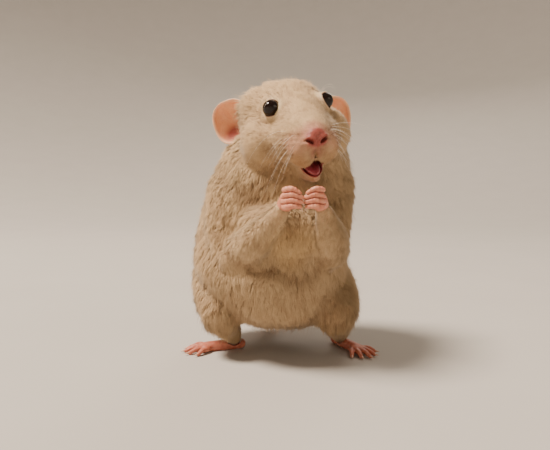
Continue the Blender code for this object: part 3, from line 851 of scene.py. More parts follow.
def set_lids(points, normals):
    """Lays the skin close round each eye, in lids that stand a little proud of the ball."""
    local = to_head(points)
    turned = normals @ np.array(AXES)
    for side in (-1, 1):
        axis, across, up = eye_axes(side)
        away = local - eye_place(side)
        far = lengths(away)
        way = unit_rows(away)
        angle = np.degrees(np.arccos(np.clip(way @ axis, -1, 1)))
        past = angle - lids_at(side, np.arctan2(way @ up, way @ across))
        lid = EYE_RADIUS + 0.08 + 0.34 * np.exp(-(((past - 7) / 7) ** 2))
        outer = ((turned * way).sum(axis=1) > 0.05) & (past > 0)
        ease = smooth_step(6, 32, past)
        wanted = np.where(outer, lid + (np.maximum(far, lid) - lid) * ease, 0.82 * EYE_RADIUS)
        near = 1 - smooth_step(EYE_RADIUS + 1.5, EYE_RADIUS + 2.6, far)
        local = local + way * ((wanted - far) * near)[:, None]
    return from_head(local)


def fuse_skin():
    """The furred solids as one closed mesh, eased less on the face and thinned on the body."""
    thing = flesh()
    remesh = thing.modifiers.new("one_skin", "REMESH")
    remesh.mode = "VOXEL"
    remesh.voxel_size = SKIN_VOXEL
    apply_all(thing)
    mesh = thing.data
    edges = edges_of(mesh)
    points = points_of(mesh)
    local = to_head(points)
    reach = lengths(local)
    muzzle = smooth_step(2, 14, local[:, 0])
    on_face = np.maximum(muzzle, 1 - smooth_step(6.0, 9.0, eye_gap(local)))
    on_face = np.where(reach < 45, on_face, 0)
    points = eased(points, edges, 4)
    set_points(mesh, eased(points, edges, 22, 1 - 0.85 * on_face))

    keep = smooth_step(-34, -14, local[:, 0]) * (reach < 46)
    group = thing.vertex_groups.new(name="body")
    weights = np.round(1 - keep, 1)
    for weight in np.unique(weights):
        chosen = np.nonzero(weights == weight)[0]
        group.add(chosen.tolist(), float(weight), "REPLACE")
    thin = thing.modifiers.new("thin", "DECIMATE")
    thin.ratio = SKIN_SHARE
    thin.vertex_group = "body"
    apply_all(thing)
    thing.vertex_groups.clear()
    refine_face(thing)
    return thing


def nodes_at(points):
    """The name of the furred solid that is nearest to each point."""
    tree, names = label_tree()
    return np.array([names[tree.find_nearest(point)[2]] for point in points.tolist()])


def coat_at(labels, local):
    """How deep, long and dense the coat is at each point, and which way it lies."""
    kinds = {name: coat_of(name) for name in FLESH}
    depth, length, dense = (np.array([kinds[label][k] for label in labels]) for k in range(3))
    back = np.array(AXES) @ np.array([-1.0, 0, -0.12])
    lie = np.array([back if kinds[label][3] is None else kinds[label][3] for label in labels])

    # On the head the coat thins towards the nose and the eyes, and lies away from the eyes.
    head = np.isin(labels, ("head", "lower_jaw"))
    share = smooth_step(-22, 20, local[:, 0])
    depth = np.where(head, 1.9 - 1.55 * share, depth)
    length = np.where(head, 4.4 - 3.1 * share, length)
    dense = np.where(head, 1.3 + 1.2 * share, dense)
    near_eye = 1 - smooth_step(4.6, 8.5, eye_gap(local))
    depth = depth * (1 - 0.8 * near_eye)
    length = length * (1 - 0.75 * near_eye)
    for side in (-1, 1):
        away = local - eye_place(side)
        far = lengths(away)
        out = (away / far[:, None]) @ np.array(AXES).T
        lie = lie + 1.3 * out * (1 - smooth_step(4.5, 7.5, far))[:, None]
    return depth, length, dense, lie


def bare_places(local, head):
    """1 inside the mouth, and up to 1 on the bare nose and lips."""
    inside = mouth_distance(local)
    in_mouth = (1 - smooth_step(0.98, 1.06, inside)) * head
    nose = lengths((local - np.array(NOSE_AT) - [0, 0, -0.7]) / [6.0, 6.0, 5.4])
    lips = (1 - smooth_step(1.06, 1.22, inside)) * head * (local[:, 0] > 6)
    return in_mouth, np.maximum(1 - smooth_step(0.5, 1.3, nose), 0.75 * lips)


def turned_down(lie, labels, points, local, head):
    """The lie, turned down behind the ears, and along the forearms away from the wrists."""
    nape = head * (1 - smooth_step(-30, -10, local[:, 0]))
    lie = lie + (np.array([0, 0.15, -1.0]) - lie) * nape[:, None]
    forearm = np.char.startswith(labels, "forearm")
    for _, wrist in HANDS:
        away = gaps_to(points, wrist)
        down = smooth_step(14, 32, away) * (forearm & (away < 45))
        lie = lie + (np.array([0, -0.1, -1.0]) - lie) * down[:, None] * forearm[:, None]
    return lie


def make_skin():
    """One closed skin, inside the solids by the depth of the coat, with the face's forms."""
    thing = fuse_skin()
    mesh = thing.data
    edges = edges_of(mesh)
    points = eased(points_of(mesh), edges, 2)
    nape = np.exp(-((lengths(to_head(points) - NAPE_AT) / NAPE_REACH) ** 2))
    points = eased(points, edges, 40, nape)
    set_points(mesh, points)
    labels = nodes_at(points)
    local = to_head(points)
    head = np.isin(labels, ("head", "lower_jaw"))
    depth, length, dense, lie = coat_at(labels, local)
    in_mouth, bare = bare_places(local, head)
    depth = depth * (1 - np.maximum(bare, in_mouth))
    lie = turned_down(lie, labels, points, local, head)

    # In front of the ears the coat is longer, in soft wisps.
    beside = np.stack([local[:, 0], np.abs(local[:, 1]), local[:, 2]], axis=1)
    wisps = np.exp(-((lengths(beside - [-19, 19, 5]) / 7) ** 2)) * head
    length = length * (1 + 0.5 * wisps)

    # Near the paws the coat thins out on the wrist and ankle.
    for wrist in WRISTS:
        away = gaps_to(points, wrist)
        ease = smooth_step(4, 13, away)
        depth = np.where(head, depth, depth * (0.2 + 0.8 * ease))
        length = np.where(head, length, length * (0.3 + 0.7 * ease))

    # Below the arms, chest and thighs the coat hangs a little over what lies under it.
    hangs = np.array([label.startswith(("upper_arm", "chest", "thigh")) for label in labels])
    under = smooth_step(0.15, 0.7, -normals_of(mesh)[:, 2]) * hangs
    length = length * (1 + 0.3 * under)
    folds, shade = face_folds(local)
    # The body's creases and the places under the head and low down get painted shade.
    creases, painted_body_shade = body_creases(points)
    folds, shade = folds * head + creases, shade * head + painted_body_shade
    dense = dense * (1 - 0.45 * head * on_pads(local))
    depth, length, dense = (eased(values, edges, 12) for values in (depth, length, dense))
    lie = eased(lie, edges, 90)

    # The skin sinks by the coat's depth, the lip's cleft is filled a little, and the nose and
    # the lids get their forms.
    sink = (depth + eased(folds, edges, 3)) * MM + SWELL
    points = points - normals_of(mesh) * (sink * (1 - in_mouth))[:, None]
    cleft = lengths((local - [23.0, 0, -22.0]) / [4.0, 2.2, 3.2])
    points = eased(points, edges, 12, 1 - smooth_step(0.6, 1.2, cleft))
    nose_move, slit = shape_nose(to_head(points))
    nose_move, slit = nose_move * (local[:, :1] > 15), slit * (local[:, 0] > 15)
    points = points + nose_move @ np.array(AXES).T * UNIT
    points = eased(points, edges, 1, 0.5)
    set_points(mesh, points)
    points = set_lids(points, normals_of(mesh))
    set_points(mesh, points)

    hidden = (in_mouth > 0.02) | (eye_gap(local) < EYE_RADIUS) | (points[:, 2] < 1.2 * MM)
    dense = np.where(hidden, 0, dense) * (1 - smooth_step(0.25, 0.72, bare))
    shade = np.clip(shade, 0, 1)
    # How much painted shade darkens the nostril slits.
    deep = np.clip(slit * 1.6, 0, 1)
    for name, values in (("bare", bare), ("mouth", in_mouth), ("deep", deep), ("shade", shade)):
        store(mesh, name, values)
    fields = {"length": length * (1 - 0.5 * bare), "dense": dense, "lie": lie, "labels": labels}
    fields |= {"depth": depth, "shade": shade, "wisps": eased(wisps, edges, 4)}
    fields["shanks"] = eased(np.char.startswith(labels, "shank") * 1.0, edges, 8)
    return thing, fields


# The coat


def sample(mesh, dense, count, rng):
    """Roots spread over a mesh: their triangle's corners and their shares of each."""
    mesh.calc_loop_triangles()
    corners = np.empty(len(mesh.loop_triangles) * 3, np.int32)
    mesh.loop_triangles.foreach_get("vertices", corners)
    corners = corners.reshape(-1, 3)
    points = points_of(mesh)
    a, b, c = (points[corners[:, k]] for k in range(3))
    area = lengths(np.cross(b - a, c - a)) / 2
    weight = area * dense[corners].min(axis=1)
    chosen = rng.choice(len(corners), count, p=weight / weight.sum())
    u, v = rng.random((2, count))
    flip = u + v > 1
    u, v = np.where(flip, 1 - u, u), np.where(flip, 1 - v, v)
    return corners[chosen], np.stack([1 - u - v, u, v], axis=1)


def blend_at(values, corners, shares):
    values = values[:, None] if values.ndim == 1 else values
    return (values[corners] * shares[:, :, None]).sum(axis=1)


def tuft_arrays(roots, normals, lie, length, width, lift, tips):
    """Five points a tuft: its root, a three-sided middle and its tip."""
    side = unit_rows(np.cross(normals, lie))
    turn = 2 * np.pi * np.arange(3) / 3
    foot_way = unit_rows(lie * np.cos(lift * 1.5)[:, None] + normals * np.sin(lift * 1.5)[:, None])
    middle = roots + foot_way * (length * 0.42)[:, None]
    middle = middle * 0.6 + (roots + (tips - roots) * 0.42) * 0.4
    foot = roots - normals * 0.25 * MM
    up = unit_rows(np.cross(tips - roots, side))
    around = side[:, None] * np.cos(turn)[None, :, None]
    around = around + up[:, None] * (0.7 * np.sin(turn)[None, :, None])
    ring = middle[:, None] + around * width[:, None, None] / 2
    points = np.concatenate([foot[:, None], ring, tips[:, None]], axis=1)
    faces = []
    for i in range(3):
        j = (i + 1) % 3
        faces += [(0, 1 + j, 1 + i), (1 + i, 1 + j, 4)]
    return points, np.array(faces)


def thinned_skin(skin):
    """A thinned copy of the skin, to unwrap for the coat's map."""
    low = new_object("low", skin.data.copy())
    thin = low.modifiers.new("thin", "DECIMATE")
    thin.ratio = 6000 / max(len(low.data.polygons), 1)
    apply_all(low)
    return low


def region_map(low, lows, highs):
    """Unwraps the faces within a box, and gives a finder from places to places on the map."""
    bm = bmesh.new()
    bm.from_mesh(low.data)
    centres = np.array([face.calc_center_median() for face in bm.faces])
    keep = ((centres > lows) & (centres < highs)).all(axis=1)
    bmesh.ops.delete(bm, geom=[f for f, k in zip(bm.faces, keep) if not k], context="FACES")
    bmesh.ops.triangulate(bm, faces=bm.faces)
    mesh = bpy.data.meshes.new("region")
    bm.to_mesh(mesh)
    bm.free()
    thing = new_object("region", mesh)
    only(thing)
    mesh.uv_layers.new(name="OFBake")
    bpy.ops.object.mode_set(mode="EDIT")
    bpy.ops.mesh.select_all(action="SELECT")
    bpy.ops.uv.smart_project(angle_limit=math.radians(66), island_margin=0.01)
    bpy.ops.object.mode_set(mode="OBJECT")
    points = points_of(mesh)
    corners = np.array([list(face.vertices) for face in mesh.polygons])
    spots = np.empty(len(mesh.loops) * 2)
    mesh.uv_layers["OFBake"].data.foreach_get("uv", spots)
    spots = spots.reshape(-1, 3, 2)
    tree = bvhtree.BVHTree.FromPolygons(points.tolist(), corners.tolist())
    bpy.data.objects.remove(thing)

    def find(places):
        hits = [tree.find_nearest(place) for place in places.tolist()]
        faces = np.array([hit[2] for hit in hits])
        spot = np.array([hit[0] for hit in hits])
        a, b, c = (points[corners[faces, k]] for k in range(3))
        ab, ac, ap = b - a, c - a, spot - a
        d00, d01, d11 = (ab * ab).sum(1), (ab * ac).sum(1), (ac * ac).sum(1)
        d20, d21 = (ap * ab).sum(1), (ap * ac).sum(1)
        whole = np.maximum(d00 * d11 - d01 * d01, 1e-24)
        v = np.clip((d11 * d20 - d01 * d21) / whole, 0, 1)
        w = np.clip((d00 * d21 - d01 * d20) / whole, 0, 1)
        shares = np.stack([1 - v - w, v, w], axis=1)
        return (spots[faces] * shares[:, :, None]).sum(axis=1)

    return find


# Where each of a tuft's five points lies in its small patch of the map.
PATCH = np.array([(0, -1), (-1, 0), (0, 0.2), (1, 0), (0, 1)]) * 0.0015
TUFT_POINTS = len(PATCH)


def coat_piece(name, points, normals, faces, spots, tone, shade, material):
    """One mesh of tufts, shaded mostly like the skin that they lie on."""
    count = len(points)
    all_faces = (faces[None] + TUFT_POINTS * np.arange(count)[:, None, None]).reshape(-1, 3)
    mesh = mesh_from(name, points.reshape(-1, 3), all_faces)
    layer = mesh.uv_layers.new(name="OFBake")
    places = np.clip(spots[:, None] + PATCH[None], 0.001, 0.999)
    corners = places.reshape(-1, 2)[all_faces.ravel()]
    layer.data.foreach_set("uv", corners.astype(np.float32).ravel())
    store(mesh, "along", np.tile([0, 0.5, 0.5, 0.5, 1], count))
    store(mesh, "tone", np.repeat(tone, TUFT_POINTS))
    store(mesh, "shade", np.repeat(shade, TUFT_POINTS))
    piece = new_object(name, mesh)
    dress(piece, material)
    round_about = normals_of(mesh).reshape(count, TUFT_POINTS, 3)
    soft = unit_rows(round_about * (1 - SOFTNESS) + normals[:, None] * SOFTNESS)
    mesh.normals_split_custom_set_from_vertices(soft.reshape(-1, 3))


REGIONS = {
    "coat_head": ("head", "lower_jaw"),
    "coat_neck": ("neck",),
    "coat_chest": ("chest",),
    "coat_belly": ("belly",),
    "coat_rump": ("rump",),
    "coat_arm_left": ("upper_arm_left", "forearm_left"),
    "coat_arm_right": ("upper_arm_right", "forearm_right"),
    "coat_leg_left": ("thigh_left", "shank_left"),
    "coat_leg_right": ("thigh_right", "shank_right"),
}


def coat_parts(labels, roots):
    """The name of each piece of coat and which tufts are in it, a large region cut across."""
    for region, nodes in REGIONS.items():
        chosen = np.nonzero(np.isin(labels, nodes))[0]
        pieces = math.ceil(len(chosen) / PIECE_TUFTS)
        if pieces == 1:
            yield region, chosen
            continue
        order = chosen[np.argsort(roots[chosen, 0])]
        for i, part in enumerate(np.array_split(order, pieces)):
            yield f"{region}_{i + 1}", part


def gather(mesh, dense, count, roots, rng):
    """Spreads centres over a mesh, and gives the nearest to each root, and the centres."""
    spread, seeds = sample(mesh, dense, count, rng)
    centres = blend_at(points_of(mesh), spread, seeds)
    tree = kdtree.KDTree(count)
    for i, centre in enumerate(centres.tolist()):
        tree.insert(centre, i)
    tree.balance()
    return np.array([tree.find(root)[1] for root in roots.tolist()]), centres


def make_coat(skin, fields, material):
    """Fine overlapping tufts over the whole skin, drawn together in small clumps."""
    rng = np.random.default_rng(7)
    mesh = skin.data
    count = TUFTS
    corners, shares = sample(mesh, fields["dense"], count, rng)
    roots = blend_at(points_of(mesh), corners, shares)
    normals = unit_rows(blend_at(normals_of(mesh), corners, shares))
    lie = blend_at(fields["lie"], corners, shares)
    length, depth, shade, wisps, shanks = (
        blend_at(fields[name], corners, shares)[:, 0]
        for name in ("length", "depth", "shade", "wisps", "shanks")
    )
    labels = fields["labels"][corners[:, 0]]

    # Each lock and each clump has its own lean, and a clump's tips are drawn to its middle.
    lock, _ = gather(mesh, fields["dense"], LOCKS, roots, rng)
    clump, centres = gather(mesh, fields["dense"], CLUMPS, roots, rng)
    guard = rng.random(count) < GUARD_SHARE
    swing, raised, stretch, tone = (
        rng.normal(0, of_lock, LOCKS)[lock]
        + rng.normal(0, of_clump, CLUMPS)[clump]
        + rng.normal(0, of_tuft, count)
        for of_lock, of_clump, of_tuft in SPREADS
    )

    lie = lie - normals * (lie * normals).sum(axis=1, keepdims=True)
    lie = unit_rows(lie + rng.normal(0, 1e-3, lie.shape))
    across = np.cross(normals, lie)
    lie = unit_rows(lie * np.cos(swing)[:, None] + across * np.sin(swing)[:, None])
    long = length * MM * np.clip(1 + stretch + 0.45 * guard, 0.6, 1.7)
    lift = np.arcsin(np.clip(depth / length, 0.12, 0.7)) * np.clip(1 + raised, 0.4, 1.7)
    lift = lift * (1 + 0.5 * shanks) + (0.30 * guard + 0.6 * wisps) * rng.random(count)
    tips = roots + (
        lie * np.cos(lift)[:, None] + normals * np.sin(lift)[:, None]
    ) * long[:, None]
    middles = np.zeros_like(centres)
    counts = np.maximum(np.bincount(clump, minlength=CLUMPS), 1)
    for k in range(3):
        middles[:, k] = np.bincount(clump, tips[:, k], CLUMPS) / counts
    gap = middles[clump] - tips
    draw = CLUMPING * smooth_step(0.8, 3.0, length) * ~guard
    draw = draw * (lengths(gap) < 2 * MM)
    tips = tips + gap * draw[:, None]
    tips[:, 2] = np.maximum(tips[:, 2], 0.4 * MM)
    width = (0.13 + 0.035 * length) * MM * rng.uniform(0.75, 1.2, count) * (1 - 0.6 * guard)
    tone = np.clip(0.5 + tone + 0.3 * guard, 0, 1)
    points, faces = tuft_arrays(roots, normals, lie, long, width, lift, tips)

    low = thinned_skin(skin)
    for name, part in coat_parts(labels, roots):
        find = region_map(low, roots[part].min(axis=0) - 5 * MM, roots[part].max(axis=0) + 5 * MM)
        looks = (find(roots[part]), tone[part], shade[part], material)
        coat_piece(name, points[part], normals[part], faces, *looks)
    bpy.data.objects.remove(low)


# Eyes, ears, paws, tail and whiskers


# Round the section of the lids: degrees past their edge, and height over the ball.
LID_ROWS = (
    (-3, -0.30),
    (-2.5, 0.08),
    (-1, 0.24),
    (2, 0.36),
    (8, 0.42),
    (20, 0.38),
    (34, 0.2),
    (44, -0.2),
    (18, -0.4),
)


def make_eye(side, node, material, lid):
    """The ball with its slightly proud cornea, and the bare margin of its lids."""
    low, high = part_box(node)
    middle, radius = (low + high) / 2, EYE_RADIUS * UNIT
    axis = (AXES @ eye_axis(side)).normalized()
    bpy.ops.object.select_all(action="DESELECT")
    bpy.ops.mesh.primitive_uv_sphere_add(
        segments=64,
        ring_count=40,
        radius=radius,
        location=middle,
        rotation=axis.to_track_quat("Z", "Y").to_euler(),
    )
    eye = bpy.context.object
    eye.name = f"{node}_ball"
    settle(eye)
    points = points_of(eye.data)
    rise = (points - np.array(middle)) @ np.array(axis)
    bulge = smooth_step(0.35, 1.0, rise / radius) * 0.2 * MM
    set_points(eye.data, points + np.array(axis)[None] * bulge[:, None])
    dress(eye, material)
    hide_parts(node)

    # The lids are a thin cap round the ball, with a dark bare margin along their edge.
    ahead, across, up = eye_axes(side)
    around, sides = 96, len(LID_ROWS)
    turn = 2 * np.pi * np.arange(around) / around
    out = across * np.cos(turn)[:, None] + up * np.sin(turn)[:, None]
    rings = []
    for past, proud in LID_ROWS:
        spread = np.radians(lids_at(side, turn) + past)[:, None]
        way = ahead * np.cos(spread) + out * np.sin(spread)
        rings.append(eye_place(side) + way * (EYE_RADIUS + proud))
    points = np.stack(rings, axis=1).reshape(-1, 3)
    margin = np.tile([1.0 if past < 1 else 0.0 for past, _ in LID_ROWS], around)
    faces = []
    for i in range(around):
        for k in range(sides):
            a, b = i * sides + k, i * sides + (k + 1) % sides
            c, d = ((i + 1) % around) * sides + (k + 1) % sides, ((i + 1) % around) * sides + k
            faces += [(a, b, c), (a, c, d)]
    name = f"lids_{'left' if side > 0 else 'right'}"
    rim = new_object(name, mesh_from(name, from_head(points), faces))
    store(rim.data, "margin", margin)
    make_outward(rim)
    dress(rim, lid)
    return eye, rim


def make_ear(name, side, distance, height, angle, material):
    """A round thin cup with a rolled rim, a hollow low down inside and a few soft folds."""
    around, steps = 120, 34
    angle = math.radians(angle)
    opens = Vector((math.cos(angle), side * math.sin(angle), 0.1)).normalized()
    up = Vector((-0.12, side * 0.16, 1)).normalized()
    up = (up - opens * up.dot(opens)).normalized()
    out = up.cross(opens) * side
    centre = np.array((EAR_FORWARD, side * distance, height))
    opens, up, out = np.array(opens), np.array(up), np.array(out)
    rows, rims, hollows = [], [], []
    turn = 2 * np.pi * np.arange(around) / around
    for step in range(steps + 1):
        share = step / steps
        square = (np.abs(np.cos(turn)) ** EAR_SQUARE + np.abs(np.sin(turn)) ** EAR_SQUARE) ** (
            -1 / EAR_SQUARE
        )
        wide = EAR_HALF_WIDTH * share * square * np.cos(turn)
        tall = EAR_HALF_HEIGHT * share * square * np.sin(turn)
        back = EAR_DEPTH * (1 - share**2.2)
        inner = np.exp(-(((wide - 0.5) / 6.5) ** 2) - ((tall + 6.0) / 4.4) ** 2)
        back = back + 1.3 * inner * (1 - share**6)
        fold = 0.34 * np.exp(-(((wide + 2.5 + 0.25 * tall) / 0.9) ** 2)) * smooth_step(
            -9.5, -6.0, tall
        ) * (1 - smooth_step(-2.5, 2.0, tall))
        back = back - fold
        roll = 0.55 * np.exp(-(((share - 0.93) / 0.05) ** 2))
        ripple = 0.10 * np.sin(5 * turn + 0.7) * share**2 + 0.05 * np.sin(11 * turn) * share**3
        flat = (roll * 0.8 + ripple) - back
        pull = 1 - 0.012 * np.exp(-(((share - 1.0) / 0.04) ** 2))
        row = (
            centre
            + out * (wide * pull)[:, None]
            + up * (tall * pull)[:, None]
            + opens * flat[:, None]
        )
        rows.append(row)
        rims.append(np.full(around, share))
        hollows.append(inner)
    points = np.concatenate([rows[0][:1]] + rows[1:])
    rim = np.concatenate([rims[0][:1]] + rims[1:])
    hollow = np.concatenate([hollows[0][:1]] + hollows[1:])
    mesh = mesh_from(f"{name}_cup", from_head(points), disc_faces(steps, around))
    store(mesh, "rim", smooth_step(0.86, 0.98, rim))
    # The hollow gets deeper red skin and painted shade in the ear's material.
    store(mesh, "hollow", np.clip(hollow * 1.1, 0, 1))
    ear = new_object(f"{name}_cup", mesh)
    make_outward(ear)
    wall = ear.modifiers.new("wall", "SOLIDIFY")
    wall.thickness = EAR_WALL
    wall.offset = 0
    apply_all(ear)
    dress(ear, material)
    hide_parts(name)
    return ear


def refined(node, name, voxel, rounds):
    """A finer, smoother copy of a solid."""
    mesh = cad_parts[node].data.copy()
    thing = new_object(name, mesh)
    bm = bmesh.new()
    bm.from_mesh(mesh)
    bmesh.ops.remove_doubles(bm, verts=bm.verts, dist=1e-6)
    bm.to_mesh(mesh)
    bm.free()
    remesh = thing.modifiers.new("fine", "REMESH")
    remesh.mode = "VOXEL"
    remesh.voxel_size = voxel
    apply_all(thing)
    edges = edges_of(thing.data)
    set_points(thing.data, eased(points_of(thing.data), edges, rounds))
    return thing


PAW_VOXEL = 0.24 * MM


def finger_paths(side, wrist):
    """The line of each finger, through its knuckle and its bend to its tip."""
    palm = Vector(wrist) + Vector((side * -2.6, -4.4, 5.2))
    for i in range(4):
        height = FINGER_PITCH * (i - 1.45)
        reach = FINGER_LENGTH * (0.9, 1.0, 1.0, 0.88)[i]
        yield (
            palm + Vector((side * 1.6, -2.4, height)),
            palm + Vector((side * (1.6 - 0.5 * reach), -4.3, height + 0.5)),
            palm + Vector((side * (1.6 - reach), -3.3, height * 0.8 - 0.5)),
        )


def shape_fingers(points, side, wrist):
    """How the skin of a hand moves outwards, in drawn units, and how much painted shade lies in its
    creases.
    """
    found = [along_path(drawn(points), path) for path in finger_paths(side, wrist)]
    gaps, spots = np.array([gap for gap, _ in found]), np.array([spot for _, spot in found])
    order = np.argsort(gaps, axis=0)
    first = np.take_along_axis(gaps, order[:1], axis=0)[0]
    second = np.take_along_axis(gaps, order[1:2], axis=0)[0]
    spot = np.take_along_axis(spots, order[:1], axis=0)[0]
    on_finger = 1 - smooth_step(1.5, 2.4, first)
    between = np.exp(-(((second - first) / 0.34) ** 2)) * (1 - smooth_step(1.9, 2.8, first))
    joints = sum(np.exp(-(((spot - joint) / 0.05) ** 2)) for joint in (0.28, 0.55, 0.8))
    knuckles = sum(np.exp(-(((spot - joint) / 0.10) ** 2)) for joint in (0.14, 0.42, 0.68, 0.95))
    out = on_finger * (0.14 * knuckles - 0.08 * joints) - 0.7 * between
    return out, np.clip(0.75 * between + 0.12 * joints * on_finger, 0, 1)


def make_paw(node, material):
    """A paw with finer fingers, creased between them and ringed across, with painted shade in its
    creases.
    """
    paw = refined(node, f"{node}_skin", PAW_VOXEL, 4)
    mesh = paw.data
    edges = edges_of(mesh)
    points, normals = points_of(mesh), normals_of(mesh)
    a, b = edges[:, 0], edges[:, 1]
    bend = (normals[a] - normals[b]) * (points[a] - points[b])
    bend = bend.sum(axis=1) / np.maximum(((points[a] - points[b]) ** 2).sum(axis=1), 1e-12)
    count = len(points)
    curve = (np.bincount(a, bend, count) + np.bincount(b, bend, count)) / np.maximum(
        np.bincount(a, minlength=count) + np.bincount(b, minlength=count), 1
    )
    curve = eased(curve, edges, 3)
    # Where the skin curves inwards it sinks a little and gets painted shade.
    crease = smooth_step(60, 900, -curve)
    out = -0.13 * crease
    if node.startswith("hand"):
        side, wrist = HANDS[0] if node.endswith("left") else HANDS[1]
        out, crease = shape_fingers(points, side, wrist)
    points = points + normals * (out * UNIT)[:, None]
    set_points(mesh, eased(points, edges, 1, 0.5))
    store(mesh, "crease", crease)
    dress(paw, material)
    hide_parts(node)
    return paw


TAIL_LENGTH, TAIL_BASE, TAIL_TIP, TAIL_TURN = 172.0, 5.6, 0.9, math.radians(62)


def tail_path(count):
    """Rows of x, y and z down the tail: off the rump, onto the floor, then round a long bend."""
    rows = [Vector((0.0, 37.0, 21.0)), Vector((0.3, 45.0, 12.5)), Vector((0.8, 53.5, 6.2))]
    spot, step = Vector((1.2, 62.0, 0)), (TAIL_LENGTH - 27) / 24
    for i in range(25):
        share = i / 24
        radius = TAIL_BASE + (TAIL_TIP - TAIL_BASE) * (0.16 + 0.84 * share)
        rows.append(Vector((spot.x, spot.y, radius - 0.1)))
        heading = math.pi / 2 + TAIL_TURN * share**1.2 - math.radians(6)
        spot = spot + Vector((math.cos(heading), math.sin(heading), 0)) * step
    return through(rows, count)


def make_tail(material):
    """One tail with scaly rings that get finer towards the tip."""
    rings_of_scales, per_ring = 175, 4
    count = rings_of_scales * per_ring
    path = tail_path(count)
    share = np.linspace(0, 1, count)
    radius = TAIL_BASE + (TAIL_TIP - TAIL_BASE) * share
    phase = np.arange(count) % per_ring
    dip = np.where(phase == 0, 1.0, np.where(phase == 1, 0.25, 0.0))
    radius = radius * (1 - 0.045 * dip)
    points, faces = tubes(in_metres(path)[None], (radius * UNIT)[None], 28)
    points[:, 2] = np.maximum(points[:, 2], 0.02 * MM)
    mesh = mesh_from("tail_skin", points, faces)
    groove = np.concatenate([np.repeat(np.where(phase == 0, 0.8, 0.0), 28), [0, 0]])
    store(mesh, "groove", groove)
    tail = new_object("tail_skin", mesh)
    dress(tail, material)
    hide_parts("tail_1", "tail_2", "tail_3", "tail_4")
    return tail


def make_tongue(material):
    """The tongue, grooved down its middle, on the floor of the open mouth."""
    bpy.ops.object.select_all(action="DESELECT")
    bpy.ops.mesh.primitive_uv_sphere_add(segments=40, ring_count=24, radius=1)
    tongue = bpy.context.object
    tongue.name = "tongue_skin"
    points = points_of(tongue.data)
    x, y, z = points.T
    groove = np.exp(-((y / 0.16) ** 2)) * smooth_step(0.0, 0.5, z) * smooth_step(-0.2, 0.5, x)
    shaped = np.stack([8.0 * x, 3.7 * y * (1 - 0.15 * x), 2.2 * z - 0.36 * groove], axis=1)
    turn = np.array(Matrix.Rotation(MOUTH_TURN, 3, "Y"))
    local = shaped @ turn.T + np.array([10.1, 0, -29.1])
    set_points(tongue.data, from_head(local))
    dress(tongue, material)
    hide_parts("tongue")
    return tongue


def make_whiskers(material):
    """Long curved whiskers from rows on each pad, with a few over the eyes."""
    rng = np.random.default_rng(11)
    lines, radii = [], []
    rings = 12
    for side in (-1, 1):
        for (x, y, z), row, column in follicles():
            if rng.random() < 0.4:
                continue
            long = (11 + 4.4 * column) * rng.uniform(0.6, 1.1)
            rise = 0.05 - 0.26 * row + 0.12 * rng.normal()
            way = Vector((-0.1 + 0.22 * rng.normal(), side * 0.85, rise))
            lines.append(whisker_line(Vector((x, side * y, z)), way.normalized(), long, rings, rng))
            radii.append(0.036 * (1 - np.linspace(0, 1, rings)) ** 0.8 + 0.010)
        for x, z in ((3.5, 4.2), (2.0, 5.0)):
            start, way = Vector((x, side * 11.0, z)), Vector((0.5, side * 0.45, 0.9))
            lines.append(whisker_line(start, way.normalized(), 13, rings, rng))
            radii.append(0.04 * (1 - np.linspace(0, 1, rings)) + 0.012)
    points, faces = tubes(np.array(lines), np.array(radii) * MM, 5)
    piece = new_object("whiskers", mesh_from("whiskers", points, faces))
    dress(piece, material)
    return piece


def whisker_line(start, way, long, rings, rng):
    """A whisker that leaves the skin and droops under its own weight."""
    root = nearest_on_skin(on_head(*start))
    way = (AXES @ way).normalized()
    droop = rng.uniform(0.5, 1.0) if start.y > 0 else rng.uniform(0.9, 1.9)
    back = AXES @ Vector((-1, 0, 0))
    line = []
    spot, step = root - way * 0.8 * MM, long * UNIT / (rings - 1)
    for i in range(rings):
        line.append(spot.copy())
        share = i / (rings - 1)
        turned = way + Vector((0, 0, -1)) * droop * share * 1.6 + back * 0.35 * share
        spot = spot + turned.normalized() * step
    return line


def nearest_on_skin(place):
    return SKIN_TREE.find_nearest(place)[0]


def make_claws(material):
    """Small curved claws on the fingers and toes, over the tips of the solids' own."""
    lines, radii = [], []
    for tip, way, long in claw_places():
        drop = Vector((0, 0, -0.35))
        rows = [
            tip - way * 0.6,
            tip + way * long * 0.4 + drop * 0.1,
            tip + way * long * 0.8 + drop * 0.6,
            tip + way * long + drop * 1.3,
        ]
        lines.append(in_metres(through(rows, 8)))
        radii.append(np.linspace(0.22 * long, 0.1, 8) * UNIT)
    lines = np.array(lines)
    lines[:, :, 2] = np.maximum(lines[:, :, 2], 0.3 * MM)
    points, faces = tubes(lines, np.array(radii), 8)
    points[:, 2] = np.maximum(points[:, 2], 0.03 * MM)
    piece = new_object("claws", mesh_from("claws", points, faces))
    dress(piece, material)
    return piece


FOOT_LENGTH, FOOT_WIDTH = 34.0, 8.8
TOE_LENGTHS = (7.0, 8.6, 9.2, 8.8, 6.6)
TOE_SPREAD = (-34, -15, 0, 14, 36)
FEET = (((33.4, 15.0, 0), (49.6, -13.6, 0)), ((-16.6, 4.8, 0), (-50.5, -5, 0)))
HANDS = ((1, (21.4, -46, 78)), (-1, (3, -47, 78)))
FINGER_LENGTH, FINGER_PITCH = 7.2, 2.45
ANKLES = ((36.2, 6.5, 6.5), (-22.8, 2.5, 6.5))
WRISTS = [wrist for _, wrist in HANDS] + list(ANKLES)


